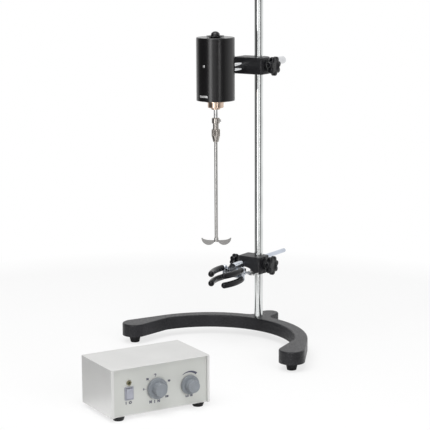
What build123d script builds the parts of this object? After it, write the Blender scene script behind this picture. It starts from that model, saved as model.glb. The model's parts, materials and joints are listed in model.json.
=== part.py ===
# Overhead stirrer: C-shaped base with a column, a motor on a sliding cross head, a vessel clamp
# with two jaws of coated prongs, and a control box that stands in front of the base.
# Millimetres, +Z up, origin at the bottom centre of the whole object's box.
# +X runs from the left foot to the right foot, the column stands towards +Y.

import os
from math import atan2, cos, degrees, hypot, radians, sin

from build123d import *

os.makedirs("parts", exist_ok=True)

# Gaps used between pieces
running_gap = 0.06       # radial, a shaft in its bore
seat_gap = 0.3           # between two pieces that move on each other
fit_gap = 0.05           # radial, between fixed pieces of one body

# Base casting
foot_height = 13.6       # floor to the underside of the casting
base_thickness = 22.6
ring_outer_radius = 175.5
ring_inner_radius = 151.5
ring_setback = 167.4     # ring centre to the column axis
pad_radius = 22.5
pad_x = 167.0
pad_setback = 158.0      # pad centres in front of the column axis
arm_blend_angle = 25.0   # where the arms start to widen into the pads
lug_radius = 17.0
lug_reach = 37.0         # rear foot behind the column axis
lug_neck_fillet = 14.0
base_edge_fillet = 2.5
foot_top_radius = 11.0
foot_sole_radius = 8.0
foot_spigot_radius = 5.0
foot_spigot_height = 6.0

# Column
column_radius = 8.0
column_height = 700.0
column_chamfer = 1.5
socket_depth = 9.0
thread_radius = 6.0
nut_across_flats = 19.0
nut_height = 6.5
nut_washer_radius = 11.5
nut_washer_thickness = 1.4
nut_pocket_radius = 13.0
nut_pocket_depth = 8.5

# Motor cross head
boss_centre_z = 500.0
boss_height = 30.0
boss_front = 22.0        # front face in front of the column axis
boss_left = 40.0
boss_rear = 17.0
sleeve_radius = 20.0     # also the right end of the slab
boss_corner_fillet = 4.0
boss_edge_fillet = 1.5
rod_offset_x = -18.0     # both rods pass the column on its left
motor_rod_radius = 7.0

# Star knobs
stud_radius = 4.0
big_knob_radius = 17.5
big_knob_thickness = 8.5
big_knob_hub_radius = 8.0
big_knob_hub_length = 3.6
small_knob_radius = 12.5
small_knob_thickness = 12.0
small_knob_hub_radius = 6.5
small_knob_hub_length = 5.0
knob_lobes = 7
knob_edge = 1.2
stud_grip = 6.0          # length of the stud inside the knob

# Motor
motor_setback = 112.0    # motor axis in front of the column axis
motor_radius = 33.6
motor_bottom_z = 447.0
motor_height = 109.5
motor_wall = 1.8
motor_top_thickness = 3.0
motor_top_fillet = 1.6
rod_socket_radius = 11.0
rod_socket_reach = 12.0  # socket behind the motor's back
rod_entry_depth = 10.0   # rod inside its socket
motor_rod_rear = 113.0   # rod end behind the column axis
end_plate_thickness = 4.0
housing_flange_radius = 17.6
housing_flange_thickness = 3.0
housing_radius = 14.0
housing_height = 10.2
housing_collar_radius = 8.0
housing_collar_height = 2.8
shaft_radius = 3.6
bearing_outer_radius = 9.5
bearing_width = 6.0
stator_inner_radius = 21.0
stator_height = 52.0
stator_lift = 30.0       # above the motor's bottom edge
armature_radius = 20.2
armature_height = 46.0
gland_hole_radius = 4.0
gland_radius = 7.8
gland_height = 9.0
gland_washer_radius = 15.6
gland_washer_thickness = 1.2
gland_washer_dish = 1.4

# Chuck, stirring rod and propeller
chuck_top_z = 415.8
chuck_head_radius = 7.0
chuck_head_height = 9.8
chuck_neck_radius = 5.2
chuck_neck_height = 9.6
chuck_screw_radius = 1.5
chuck_screw_head_radius = 2.2
chuck_screw_head_length = 2.4
nut_sleeve_radius = 7.2
nut_sleeve_height = 13.0
nut_nose_radius = 4.9
nut_nose_height = 9.8
nut_flutes = 20
nut_flute_radius = 0.55
spigot_radius = 5.6
spigot_length = 10.0
collet_radius = 4.1
collet_length = 18.0
collet_slot = 0.8
stir_rod_radius = 3.0
stir_rod_top_clear = 2.0
propeller_z = 197.4      # upper edge of the blades at the hub
propeller_half_span = 26.3
blade_root_height = 2.8
blade_drop = 8.6         # lowest point of a blade under its upper edge
blade_rise = 3.8         # tips above the upper edge at the hub
blade_thickness = 1.8
propeller_hub_radius = 3.9
propeller_hub_height = 7.0
stir_angle = 34.0        # direction in which the blades lie at rest

# Vessel clamp cross head
clamp_centre_z = 136.0
clamp_boss_height = 31.0
clamp_boss_left = 32.0
clamp_boss_right = 14.5
clamp_boss_front = 20.0
clamp_boss_rear = 14.0
clamp_arm_underside = 131.6
clamp_arch_start_x = 6.0
clamp_sleeve_radius = 15.5
clamp_rod_radius = 4.0
clamp_rod_z = 137.8
clamp_rod_rear = 119.0
clamp_knob_setback = 7.0 # small knobs sit a little in front of the column axis

# Clamp head
jaw_plane_z = 127.0
prong_spacing = 17.0
yoke_front = 60.0
yoke_rear = 33.0
yoke_socket_radius = 7.5
yoke_half_width = 15.5
cheek_thickness = 2.6
cheek_half_gap = 6.0
cheek_rear = 45.5
pivot_offset = 12.0
pivot_setback = 51.0
pin_radius = 2.0
pin_head_radius = 3.2
pin_head_height = 1.2
web_half_width = 3.5
barrel_radius = 4.0
jaw_root_offset = 19.0
jaw_root_setback = 58.0
jaw_post_radius = 4.4
prong_core_radius = 3.0
sleeve_outer_radius = 5.5
prong_length = 60.0
prong_bend = 38.0
left_prong_turn = 10.5   # chord turned towards +X from straight ahead
right_prong_turn = 1.5
lever_thickness = 3.0
lever_reach = 15.0
lever_slot_width = 8.8
lever_slot_height = 6.6
wing_screw_radius = 2.2
wing_screw_setback = 41.0
wing_hub_radius = 3.6
wing_hub_length = 8.0
wing_hub_start = 22.0    # from the clamp rod's axis
wing_start = 26.5
wing_span = 22.0
wing_length = 13.0
wing_thickness = 2.4

# Control box
case_x = 78.0
case_setback = 457.0     # case centre in front of the column axis
case_yaw = 64.2
case_width = 174.0
case_depth = 105.0
case_height = 77.0
case_foot_height = 6.5
case_foot_top_radius = 8.5
case_foot_sole_radius = 6.0
case_foot_inset = 17.0
sheet = 1.5
case_corner_radius = 2.0
case_rim_width = 4.6
case_rim_depth = 3.0
front_panel_thickness = 2.0
rear_recess = 1.5
lamp_u = 31.5
lamp_v = 52.5
lamp_radius = 3.2
lamp_bezel_radius = 4.0
rocker_u = 31.5
rocker_v = 35.6
rocker_frame_width = 15.0
rocker_frame_height = 21.0
rocker_width = 11.0
rocker_height = 17.0
rocker_frame_lip = 1.4
rocker_body_depth = 13.0
rocker_tilt = 7.0
timer_u = 80.0
timer_v = 36.5
speed_u = 138.0
speed_v = 33.5
timer_skirt_radius = 17.0
speed_skirt_radius = 15.6
grip_radius = 9.8
skirt_thickness = 4.5
knob_height = 16.0
knob_shaft_radius = 3.0
panel_bush_radius = 4.5
board_thickness = 1.6

# Places worked out from the values above
base_bottom = foot_height
base_top = foot_height + base_thickness
case_half_reach = (
    (case_width / 2 - case_corner_radius) * sin(radians(case_yaw))
    + (case_depth / 2 - case_corner_radius) * cos(radians(case_yaw))
    + case_corner_radius
)
front_reach = case_setback + case_half_reach
column_y = (front_reach - clamp_rod_rear) / 2    # the clamp rod reaches furthest back
ring_y = column_y - ring_setback
pad_y = column_y - pad_setback
lug_y = column_y + lug_reach


# Base casting: ring sector, pads on widened arms, rear lug
ring_mid_radius = (ring_outer_radius + ring_inner_radius) / 2
ring_half_width = (ring_outer_radius - ring_inner_radius) / 2
arm_x = ring_mid_radius * cos(radians(arm_blend_angle))
arm_y = ring_y + ring_mid_radius * sin(radians(arm_blend_angle))
with BuildSketch(Plane.XY.offset(base_bottom)) as left_arm:
    with Locations((-pad_x, pad_y)):
        Circle(pad_radius)
    with Locations((-arm_x, arm_y)):
        Circle(ring_half_width)
    make_hull()
with BuildPart() as base_casting:
    with BuildSketch(Plane.XY.offset(base_bottom)) as base_plan:
        with Locations((0, ring_y)):
            Circle(ring_outer_radius)
            Circle(ring_inner_radius, mode=Mode.SUBTRACT)
        with Locations((0, ring_y - ring_outer_radius / 2)):
            Rectangle(2.2 * ring_outer_radius, ring_outer_radius, mode=Mode.SUBTRACT)
        add(left_arm.sketch)
        add(left_arm.sketch.mirror(Plane.YZ))
        with Locations((0, lug_y)):
            Circle(lug_radius)
        with Locations((0, (column_y + lug_y) / 2)):
            Rectangle(2 * lug_radius, lug_reach)
        necks = base_plan.vertices().filter_by_position(Axis.X, -lug_radius - 1, lug_radius + 1)
        necks = necks.filter_by_position(Axis.Y, column_y - 5, column_y + lug_radius)
        fillet(necks, radius=lug_neck_fillet)
    extrude(amount=base_thickness)
    fillet(base_casting.faces().sort_by(Axis.Z)[-1].edges(), radius=base_edge_fillet)
    with Locations((0, column_y, base_top)):
        CounterBoreHole(
            radius=thread_radius + fit_gap,
            counter_bore_radius=column_radius + fit_gap,
            counter_bore_depth=socket_depth,
        )
    with BuildSketch(Plane.XY.offset(base_bottom)):
        with Locations((0, column_y)):
            Circle(nut_pocket_radius)
    extrude(amount=nut_pocket_depth, mode=Mode.SUBTRACT)
    with BuildSketch(Plane.XY.offset(base_bottom)):
        with Locations((-pad_x, pad_y), (pad_x, pad_y), (0, lug_y)):
            Circle(foot_spigot_radius + fit_gap)
    extrude(amount=foot_spigot_height + 1, mode=Mode.SUBTRACT)
base_casting.part.label = "base_casting"
export_step(base_casting.part, "parts/base_casting.step")

# Three rubber feet, each a cone with a spigot pressed into the casting
foot_places = {
    "base_foot_left": (-pad_x, pad_y),
    "base_foot_right": (pad_x, pad_y),
    "base_foot_rear": (0, lug_y),
}
for foot_name, foot_place in foot_places.items():
    with BuildPart() as foot:
        with BuildSketch(Plane.XY) as foot_sole:
            with Locations(foot_place):
                Circle(foot_sole_radius)
        with BuildSketch(Plane.XY.offset(foot_height)) as foot_top:
            with Locations(foot_place):
                Circle(foot_top_radius)
        loft()
        fillet(foot.faces().sort_by(Axis.Z)[0].edges(), radius=0.8)
        with BuildSketch(Plane.XY.offset(foot_height)):
            with Locations(foot_place):
                Circle(foot_spigot_radius)
        extrude(amount=foot_spigot_height)
    foot.part.label = foot_name
    export_step(foot.part, f"parts/{foot_name}.step")

# Column: bar with a shoulder that sits in the casting and a threaded end below
with BuildPart() as column:
    with BuildSketch(Plane.XY.offset(base_top - socket_depth)):
        with Locations((0, column_y)):
            Circle(column_radius)
    extrude(amount=column_height - base_top + socket_depth)
    chamfer(column.faces().sort_by(Axis.Z)[-1].edges(), length=column_chamfer)
    thread_bottom = base_bottom + nut_pocket_depth - nut_washer_thickness - nut_height
    with BuildSketch(Plane.XY.offset(thread_bottom)):
        with Locations((0, column_y)):
            Circle(thread_radius)
    extrude(amount=base_top - socket_depth - thread_bottom)
column.part.label = "column"
export_step(column.part, "parts/column.step")

# Hexagon nut with its washer face, in the pocket under the base
with BuildPart() as column_nut:
    washer_top = base_bottom + nut_pocket_depth
    with BuildSketch(Plane.XY.offset(washer_top - nut_washer_thickness)):
        with Locations((0, column_y)):
            Circle(nut_washer_radius)
    extrude(amount=nut_washer_thickness)
    with BuildSketch(Plane.XY.offset(washer_top - nut_washer_thickness - nut_height)):
        with Locations((0, column_y)):
            RegularPolygon(radius=nut_across_flats / 2, side_count=6, major_radius=False)
    extrude(amount=nut_height)
    with Locations((0, column_y, washer_top)):
        Hole(radius=thread_radius + fit_gap)
column_nut.part.label = "column_nut"
export_step(column_nut.part, "parts/column_nut.step")


# Star knob on a plane whose normal points away from the boss: hub, lobed head, blind stud bore
def star_knob(seat, head_radius, head_thickness, hub_radius, hub_length):
    valley_radius = head_radius * 0.27
    valley_place = head_radius * 1.14
    outward = Axis(seat.origin, seat.z_dir)
    with BuildPart() as knob:
        with BuildSketch(seat.offset(hub_length)) as head:
            Circle(head_radius)
            with PolarLocations(valley_place, knob_lobes):
                Circle(valley_radius, mode=Mode.SUBTRACT)
            fillet(head.vertices(), radius=head_radius * 0.09)
        extrude(amount=head_thickness)
        fillet(knob.faces().sort_by(outward)[-1].edges(), radius=knob_edge)
        with BuildSketch(seat):
            Circle(hub_radius)
        with BuildSketch(seat.offset(hub_length)):
            Circle(hub_radius * 1.25)
        loft()
        with BuildSketch(seat):
            Circle(stud_radius + fit_gap)
        extrude(amount=stud_grip, mode=Mode.SUBTRACT)
        with BuildSketch(seat.offset(hub_length + head_thickness)):
            Circle(head_radius * 0.42)
        extrude(amount=-0.8, mode=Mode.SUBTRACT)
    return knob


# Stud from inside a knob to the bar that it presses on
def stud(seat, reach):
    outward = Axis(seat.origin, seat.z_dir)
    with BuildPart() as rod:
        with BuildSketch(seat.offset(-reach)):
            Circle(stud_radius)
        extrude(amount=reach + stud_grip)
        chamfer(rod.faces().sort_by(outward)[0].edges(), length=0.8)
    return rod


# Motor cross head: slab across the front, sleeve round the column, arm round the motor rod
boss_bottom = boss_centre_z - boss_height / 2
rod_x = rod_offset_x
boss_pad_x = sleeve_radius + 1.6
with BuildPart() as motor_boss:
    with BuildSketch(Plane.XY.offset(boss_bottom)) as boss_plan:
        with Locations(((sleeve_radius - boss_left) / 2, column_y - boss_front / 2)):
            Rectangle(sleeve_radius + boss_left, boss_front)
        with Locations((0, column_y)):
            Circle(sleeve_radius)
        arm_depth = boss_front + boss_rear
        with Locations((rod_x, column_y - boss_front + arm_depth / 2)):
            Rectangle(2 * (boss_left + rod_x), arm_depth)
        front_corners = boss_plan.vertices().group_by(Axis.Y)[0]
        fillet(front_corners, radius=boss_corner_fillet)
        rear_corner = boss_plan.vertices().group_by(Axis.X)[0].sort_by(Axis.Y)[-1]
        fillet(rear_corner, radius=boss_corner_fillet)
    extrude(amount=boss_height)
    with BuildSketch(Plane(origin=(0, column_y, boss_centre_z), x_dir=(0, 1, 0), z_dir=(1, 0, 0))):
        Circle(big_knob_hub_radius + 2)
    extrude(amount=boss_pad_x)
    fillet(motor_boss.edges().group_by(Axis.Z)[-1], radius=boss_edge_fillet)
    fillet(motor_boss.edges().group_by(Axis.Z)[0], radius=boss_edge_fillet)
    with BuildSketch(Plane.XY.offset(boss_bottom)):
        with Locations((0, column_y)):
            Circle(column_radius + running_gap)
    extrude(amount=boss_height, mode=Mode.SUBTRACT)
    with BuildSketch(Plane.XZ.offset(boss_front - column_y)):
        with Locations((rod_x, boss_centre_z)):
            Circle(motor_rod_radius + running_gap)
    extrude(amount=-arm_depth, mode=Mode.SUBTRACT)
    with BuildSketch(Plane(origin=(0, column_y, boss_centre_z), x_dir=(0, 1, 0), z_dir=(1, 0, 0))):
        Circle(stud_radius + running_gap)
    extrude(amount=boss_pad_x, mode=Mode.SUBTRACT)
    with BuildSketch(Plane(origin=(rod_x, column_y, boss_centre_z), x_dir=(0, -1, 0), z_dir=(-1, 0, 0))):
        Circle(stud_radius + running_gap)
    extrude(amount=boss_left + rod_x, mode=Mode.SUBTRACT)
motor_boss.part.label = "motor_boss"
export_step(motor_boss.part, "parts/motor_boss.step")

boss_column_seat = Plane(
    origin=(boss_pad_x + seat_gap, column_y, boss_centre_z), x_dir=(0, 1, 0), z_dir=(1, 0, 0)
)
boss_column_knob = star_knob(
    boss_column_seat, big_knob_radius, big_knob_thickness, big_knob_hub_radius, big_knob_hub_length
)
boss_column_knob.part.label = "boss_column_knob"
export_step(boss_column_knob.part, "parts/boss_column_knob.step")
boss_column_stud = stud(boss_column_seat, boss_pad_x - column_radius)
boss_column_stud.part.label = "boss_column_stud"
export_step(boss_column_stud.part, "parts/boss_column_stud.step")

boss_rod_seat = Plane(
    origin=(-boss_left - seat_gap, column_y, boss_centre_z), x_dir=(0, -1, 0), z_dir=(-1, 0, 0)
)
boss_rod_knob = star_knob(
    boss_rod_seat, small_knob_radius, small_knob_thickness, small_knob_hub_radius, small_knob_hub_length
)
boss_rod_knob.part.label = "boss_rod_knob"
export_step(boss_rod_knob.part, "parts/boss_rod_knob.step")
boss_rod_stud = stud(boss_rod_seat, boss_left + rod_x - motor_rod_radius)
boss_rod_stud.part.label = "boss_rod_stud"
export_step(boss_rod_stud.part, "parts/boss_rod_stud.step")


# Motor: everything here turns or sits about one upright axis
motor_y = column_y - motor_setback
motor_top = motor_bottom_z + motor_height
motor_back_y = motor_y + motor_radius
motor_axis = Plane(origin=(rod_x, motor_y, 0), x_dir=(1, 0, 0), z_dir=(0, 0, 1))
rod_start_y = motor_back_y + rod_socket_reach - rod_entry_depth
rod_end_y = column_y + motor_rod_rear

with BuildPart() as motor_rod:
    with BuildSketch(Plane(origin=(rod_x, rod_start_y, boss_centre_z), x_dir=(1, 0, 0), z_dir=(0, 1, 0))):
        Circle(motor_rod_radius)
    extrude(amount=rod_end_y - rod_start_y)
    chamfer(motor_rod.faces().sort_by(Axis.Y)[-1].edges(), length=1.2)
motor_rod.part.label = "motor_rod"
export_step(motor_rod.part, "parts/motor_rod.step")

# Deep-drawn cover, open below, with the rod socket behind and an inner boss for the upper bearing
bearing_boss_depth = motor_top_thickness + bearing_width + 4
upper_bearing_z = motor_top - bearing_boss_depth
with BuildPart() as motor_cover:
    with BuildSketch(motor_axis.offset(motor_bottom_z)):
        Circle(motor_radius)
    extrude(amount=motor_height)
    with BuildSketch(Plane(origin=(rod_x, motor_y, boss_centre_z), x_dir=(1, 0, 0), z_dir=(0, 1, 0))):
        Circle(rod_socket_radius)
    extrude(amount=motor_radius + rod_socket_reach)
    fillet(motor_cover.faces().sort_by(Axis.Z)[-1].edges(), radius=motor_top_fillet)
    with BuildSketch(motor_axis.offset(motor_bottom_z)):
        Circle(motor_radius - motor_wall)
    extrude(amount=motor_height - motor_top_thickness, mode=Mode.SUBTRACT)
    with BuildSketch(motor_axis.offset(upper_bearing_z)):
        Circle(bearing_outer_radius + 2.5)
    extrude(amount=bearing_boss_depth - motor_top_thickness)
    with BuildSketch(motor_axis.offset(upper_bearing_z)):
        Circle(bearing_outer_radius + fit_gap)
    extrude(amount=bearing_width, mode=Mode.SUBTRACT)
    with BuildSketch(motor_axis.offset(upper_bearing_z)):
        Circle(gland_hole_radius + fit_gap)
    extrude(amount=bearing_boss_depth, mode=Mode.SUBTRACT)
    with BuildSketch(Plane(origin=(rod_x, rod_start_y, boss_centre_z), x_dir=(1, 0, 0), z_dir=(0, 1, 0))):
        Circle(motor_rod_radius + fit_gap)
    extrude(amount=rod_entry_depth, mode=Mode.SUBTRACT)
motor_cover.part.label = "motor_cover"
export_step(motor_cover.part, "parts/motor_cover.step")

with BuildPart() as motor_end_plate:
    with BuildSketch(motor_axis.offset(motor_bottom_z)):
        Circle(motor_radius - motor_wall - fit_gap)
        Circle(housing_radius + fit_gap, mode=Mode.SUBTRACT)
    extrude(amount=end_plate_thickness)
motor_end_plate.part.label = "motor_end_plate"
export_step(motor_end_plate.part, "parts/motor_end_plate.step")

# Brass housing of the lower bearing: flange under the end plate, spigot through it, collar below
housing_bottom = motor_bottom_z - housing_flange_thickness - housing_height
lower_bearing_z = motor_bottom_z - bearing_width / 2
spigot_top = motor_bottom_z + end_plate_thickness + 1
with BuildPart() as bearing_housing:
    with BuildSketch(Plane.XZ.offset(-motor_y)):
        with BuildLine():
            Polyline(
                (rod_x, housing_bottom - housing_collar_height),
                (rod_x + housing_collar_radius, housing_bottom - housing_collar_height),
                (rod_x + housing_collar_radius, housing_bottom),
                (rod_x + housing_radius - 1, housing_bottom),
                (rod_x + housing_radius, housing_bottom + 1),
                (rod_x + housing_radius, motor_bottom_z - housing_flange_thickness),
                (rod_x + housing_flange_radius, motor_bottom_z - housing_flange_thickness),
                (rod_x + housing_flange_radius, motor_bottom_z),
                (rod_x + housing_radius, motor_bottom_z),
                (rod_x + housing_radius, spigot_top),
                (rod_x, spigot_top),
                close=True,
            )
        make_face()
    revolve(axis=Axis((rod_x, motor_y, 0), (0, 0, 1)))
    with BuildSketch(motor_axis.offset(lower_bearing_z)):
        Circle(bearing_outer_radius + fit_gap)
    extrude(amount=spigot_top - lower_bearing_z, mode=Mode.SUBTRACT)
    with BuildSketch(motor_axis.offset(housing_bottom - housing_collar_height)):
        Circle(shaft_radius + 0.4)
    extrude(amount=spigot_top - housing_bottom, mode=Mode.SUBTRACT)
bearing_housing.part.label = "bearing_housing"
export_step(bearing_housing.part, "parts/bearing_housing.step")

# Two ball bearings, each an outer ring, an inner ring and a shield between them
with BuildPart() as motor_bearings:
    for bearing_z in (lower_bearing_z, upper_bearing_z):
        with BuildSketch(motor_axis.offset(bearing_z)):
            Circle(bearing_outer_radius)
            Circle(shaft_radius + running_gap, mode=Mode.SUBTRACT)
        extrude(amount=bearing_width)
        for groove_z in (bearing_z, bearing_z + bearing_width - 0.5):
            with BuildSketch(motor_axis.offset(groove_z)):
                Circle(bearing_outer_radius - 1.6)
                Circle(shaft_radius + 1.6, mode=Mode.SUBTRACT)
            extrude(amount=0.5, mode=Mode.SUBTRACT)
motor_bearings.part.label = "motor_bearings"
export_step(motor_bearings.part, "parts/motor_bearings.step")

with BuildPart() as motor_stator:
    with BuildSketch(motor_axis.offset(motor_bottom_z + stator_lift)):
        Circle(motor_radius - motor_wall - fit_gap)
        Circle(stator_inner_radius, mode=Mode.SUBTRACT)
    extrude(amount=stator_height)
motor_stator.part.label = "motor_stator"
export_step(motor_stator.part, "parts/motor_stator.step")

# Gland nut with a domed top on a dished washer
with BuildPart() as gland_washer:
    with BuildSketch(Plane.XZ.offset(-motor_y)):
        with BuildLine():
            Polyline(
                (rod_x + gland_hole_radius + fit_gap, motor_top),
                (rod_x + gland_radius, motor_top),
                (rod_x + gland_washer_radius, motor_top + gland_washer_dish),
                (rod_x + gland_washer_radius, motor_top + gland_washer_dish + gland_washer_thickness),
                (rod_x + gland_radius, motor_top + gland_washer_thickness),
                (rod_x + gland_hole_radius + fit_gap, motor_top + gland_washer_thickness),
                close=True,
            )
        make_face()
    revolve(axis=Axis((rod_x, motor_y, 0), (0, 0, 1)))
gland_washer.part.label = "gland_washer"
export_step(gland_washer.part, "parts/gland_washer.step")

gland_base = motor_top + gland_washer_thickness
with BuildPart() as cable_gland:
    with BuildSketch(Plane.XZ.offset(-motor_y)):
        with BuildLine():
            gland_foot = Polyline(
                (rod_x, gland_base + gland_height),
                (rod_x, motor_top - motor_top_thickness + 0.5),
                (rod_x + gland_hole_radius, motor_top - motor_top_thickness + 0.5),
                (rod_x + gland_hole_radius, gland_base),
                (rod_x + gland_radius, gland_base),
                (rod_x + gland_radius, gland_base + 2.5),
            )
            Spline(
                (rod_x + gland_radius, gland_base + 2.5),
                (rod_x + gland_radius * 0.74, gland_base + gland_height * 0.78),
                (rod_x, gland_base + gland_height),
                tangents=((0, 1), (-1, 0)),
            )
        make_face()
    revolve(axis=Axis((rod_x, motor_y, 0), (0, 0, 1)))
cable_gland.part.label = "cable_gland"
export_step(cable_gland.part, "parts/cable_gland.step")

# Shaft and armature
shaft_bottom = chuck_top_z - chuck_head_height - chuck_neck_height + 1
shaft_top = upper_bearing_z + bearing_width + 1
with BuildPart() as motor_shaft:
    with BuildSketch(motor_axis.offset(shaft_bottom)):
        Circle(shaft_radius)
    extrude(amount=shaft_top - shaft_bottom)
    chamfer(motor_shaft.faces().sort_by(Axis.Z)[0].edges(), length=0.5)
motor_shaft.part.label = "motor_shaft"
export_step(motor_shaft.part, "parts/motor_shaft.step")

armature_z = motor_bottom_z + stator_lift + (stator_height - armature_height) / 2
with BuildPart() as armature:
    with BuildSketch(motor_axis.offset(armature_z)) as laminations:
        Circle(armature_radius)
        with PolarLocations(armature_radius - 2.5, 12):
            SlotCenterToCenter(5, 2.2, mode=Mode.SUBTRACT)
        Circle(shaft_radius + fit_gap, mode=Mode.SUBTRACT)
    extrude(amount=armature_height)
    with BuildSketch(motor_axis.offset(armature_z + armature_height)):
        Circle(11)
        Circle(shaft_radius + fit_gap, mode=Mode.SUBTRACT)
    extrude(amount=9)
armature.part.label = "armature"
export_step(armature.part, "parts/armature.step")

# Chuck body: head with the set screw, neck, spigot under the nut
neck_bottom = chuck_top_z - chuck_head_height - chuck_neck_height
with BuildPart() as chuck_body:
    with BuildSketch(Plane.XZ.offset(-motor_y)):
        with BuildLine():
            Polyline(
                (rod_x, neck_bottom - spigot_length),
                (rod_x + spigot_radius - 0.5, neck_bottom - spigot_length),
                (rod_x + spigot_radius, neck_bottom - spigot_length + 0.5),
                (rod_x + spigot_radius, neck_bottom),
                (rod_x + chuck_neck_radius, neck_bottom),
                (rod_x + chuck_neck_radius, chuck_top_z - chuck_head_height),
                (rod_x + chuck_head_radius - 0.8, chuck_top_z - chuck_head_height),
                (rod_x + chuck_head_radius, chuck_top_z - chuck_head_height + 0.8),
                (rod_x + chuck_head_radius, chuck_top_z - 0.8),
                (rod_x + chuck_head_radius - 0.8, chuck_top_z),
                (rod_x, chuck_top_z),
                close=True,
            )
        make_face()
    revolve(axis=Axis((rod_x, motor_y, 0), (0, 0, 1)))
    with BuildSketch(motor_axis.offset(shaft_bottom - 0.3)):
        Circle(shaft_radius + fit_gap)
    extrude(amount=chuck_top_z - shaft_bottom + 0.3, mode=Mode.SUBTRACT)
    with BuildSketch(motor_axis.offset(neck_bottom - spigot_length)):
        Circle(collet_radius + fit_gap)
    extrude(amount=spigot_length - 2, mode=Mode.SUBTRACT)
    screw_plane = Plane(
        origin=(rod_x, motor_y, chuck_top_z - chuck_head_height / 2),
        x_dir=(0, 0, 1),
        z_dir=(cos(radians(stir_angle)), sin(radians(stir_angle)), 0),
    )
    with BuildSketch(screw_plane):
        Circle(chuck_screw_radius + fit_gap)
    extrude(amount=chuck_head_radius + 1, mode=Mode.SUBTRACT)
chuck_body.part.label = "chuck_body"
export_step(chuck_body.part, "parts/chuck_body.step")

with BuildPart() as chuck_screw:
    with BuildSketch(screw_plane.offset(shaft_radius + fit_gap)):
        Circle(chuck_screw_radius)
    extrude(amount=chuck_head_radius - shaft_radius)
    with BuildSketch(screw_plane.offset(chuck_head_radius)):
        Circle(chuck_screw_head_radius)
    extrude(amount=chuck_screw_head_length)
chuck_screw.part.label = "chuck_screw"
export_step(chuck_screw.part, "parts/chuck_screw.step")

# Collet: split sleeve that the nut closes on the rod
collet_top = neck_bottom - 2
collet_bottom = collet_top - collet_length
with BuildPart() as chuck_collet:
    with BuildSketch(Plane.XZ.offset(-motor_y)):
        with BuildLine():
            Polyline(
                (rod_x + stir_rod_radius + fit_gap, collet_bottom),
                (rod_x + collet_radius - 0.5, collet_bottom),
                (rod_x + collet_radius, collet_bottom + 6),
                (rod_x + collet_radius, collet_top),
                (rod_x + stir_rod_radius + fit_gap, collet_top),
                close=True,
            )
        make_face()
    revolve(axis=Axis((rod_x, motor_y, 0), (0, 0, 1)))
    with BuildSketch(motor_axis.offset(collet_bottom)):
        Rectangle(3 * collet_radius, collet_slot)
        Rectangle(collet_slot, 3 * collet_radius)
    extrude(amount=collet_length * 0.7, mode=Mode.SUBTRACT)
chuck_collet.part.label = "chuck_collet"
export_step(chuck_collet.part, "parts/chuck_collet.step")

# Chuck nut: fluted sleeve and tapered nose round the collet
nut_top = neck_bottom
nut_bottom = nut_top - nut_sleeve_height - nut_nose_height
collet_clear = collet_radius + 0.15
with BuildPart() as chuck_nut:
    with BuildSketch(Plane.XZ.offset(-motor_y)):
        with BuildLine():
            Polyline(
                (rod_x + collet_clear, nut_bottom),
                (rod_x + nut_nose_radius - 0.4, nut_bottom),
                (rod_x + nut_nose_radius, nut_bottom + 0.4),
                (rod_x + nut_sleeve_radius, nut_top - nut_sleeve_height),
                (rod_x + nut_sleeve_radius, nut_top - 0.8),
                (rod_x + nut_sleeve_radius - 0.8, nut_top),
                (rod_x + spigot_radius + running_gap, nut_top),
                (rod_x + spigot_radius + running_gap, neck_bottom - spigot_length - seat_gap),
                (rod_x + collet_clear, neck_bottom - spigot_length - seat_gap),
                close=True,
            )
        make_face()
    revolve(axis=Axis((rod_x, motor_y, 0), (0, 0, 1)))
    with BuildSketch(motor_axis.offset(nut_top - nut_sleeve_height + 0.6)):
        with PolarLocations(nut_sleeve_radius + 0.15, nut_flutes):
            Circle(nut_flute_radius)
    extrude(amount=nut_sleeve_height - 1.8, mode=Mode.SUBTRACT)
chuck_nut.part.label = "chuck_nut"
export_step(chuck_nut.part, "parts/chuck_nut.step")

# Stirring rod and propeller
stir_rod_top = neck_bottom - 2 - stir_rod_top_clear
hub_bottom = propeller_z - blade_root_height
with BuildPart() as stirring_rod:
    with BuildSketch(motor_axis.offset(hub_bottom)):
        Circle(stir_rod_radius)
    extrude(amount=stir_rod_top - hub_bottom)
stirring_rod.part.label = "stirring_rod"
export_step(stirring_rod.part, "parts/stirring_rod.step")

# Two crescent blades that droop from the hub and curl up at their tips
blade_plane = Plane(
    origin=(rod_x, motor_y, propeller_z),
    x_dir=(cos(radians(stir_angle)), sin(radians(stir_angle)), 0),
    z_dir=(sin(radians(stir_angle)), -cos(radians(stir_angle)), 0),
)
with BuildPart() as propeller:
    with BuildSketch(blade_plane):
        with BuildLine():
            blade_top = Spline(
                (0, 0),
                (propeller_half_span * 0.55, 0.4),
                (propeller_half_span * 0.93, blade_rise),
                tangents=((1, 0), (0.7, 0.7)),
            )
            blade_tip = ThreePointArc(
                blade_top @ 1,
                (propeller_half_span, blade_rise),
                (propeller_half_span * 0.995, blade_rise - 1.8),
            )
            Spline(
                blade_tip @ 1,
                (propeller_half_span * 0.84, -5.2),
                (propeller_half_span * 0.47, -blade_drop),
                (propeller_half_span * 0.22, -5.6),
                (propeller_hub_radius - 0.4, -blade_root_height),
            )
            Line((propeller_hub_radius - 0.4, -blade_root_height), (0, -blade_root_height))
            Line((0, -blade_root_height), (0, 0))
        make_face()
        mirror(about=Plane.YZ)
    extrude(amount=blade_thickness / 2, both=True)
    with BuildSketch(motor_axis.offset(hub_bottom)):
        Circle(propeller_hub_radius)
    extrude(amount=propeller_hub_height)
    with BuildSketch(motor_axis.offset(hub_bottom)):
        Circle(stir_rod_radius + fit_gap)
    extrude(amount=propeller_hub_height, mode=Mode.SUBTRACT)
propeller.part.label = "propeller"
export_step(propeller.part, "parts/propeller.step")


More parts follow.
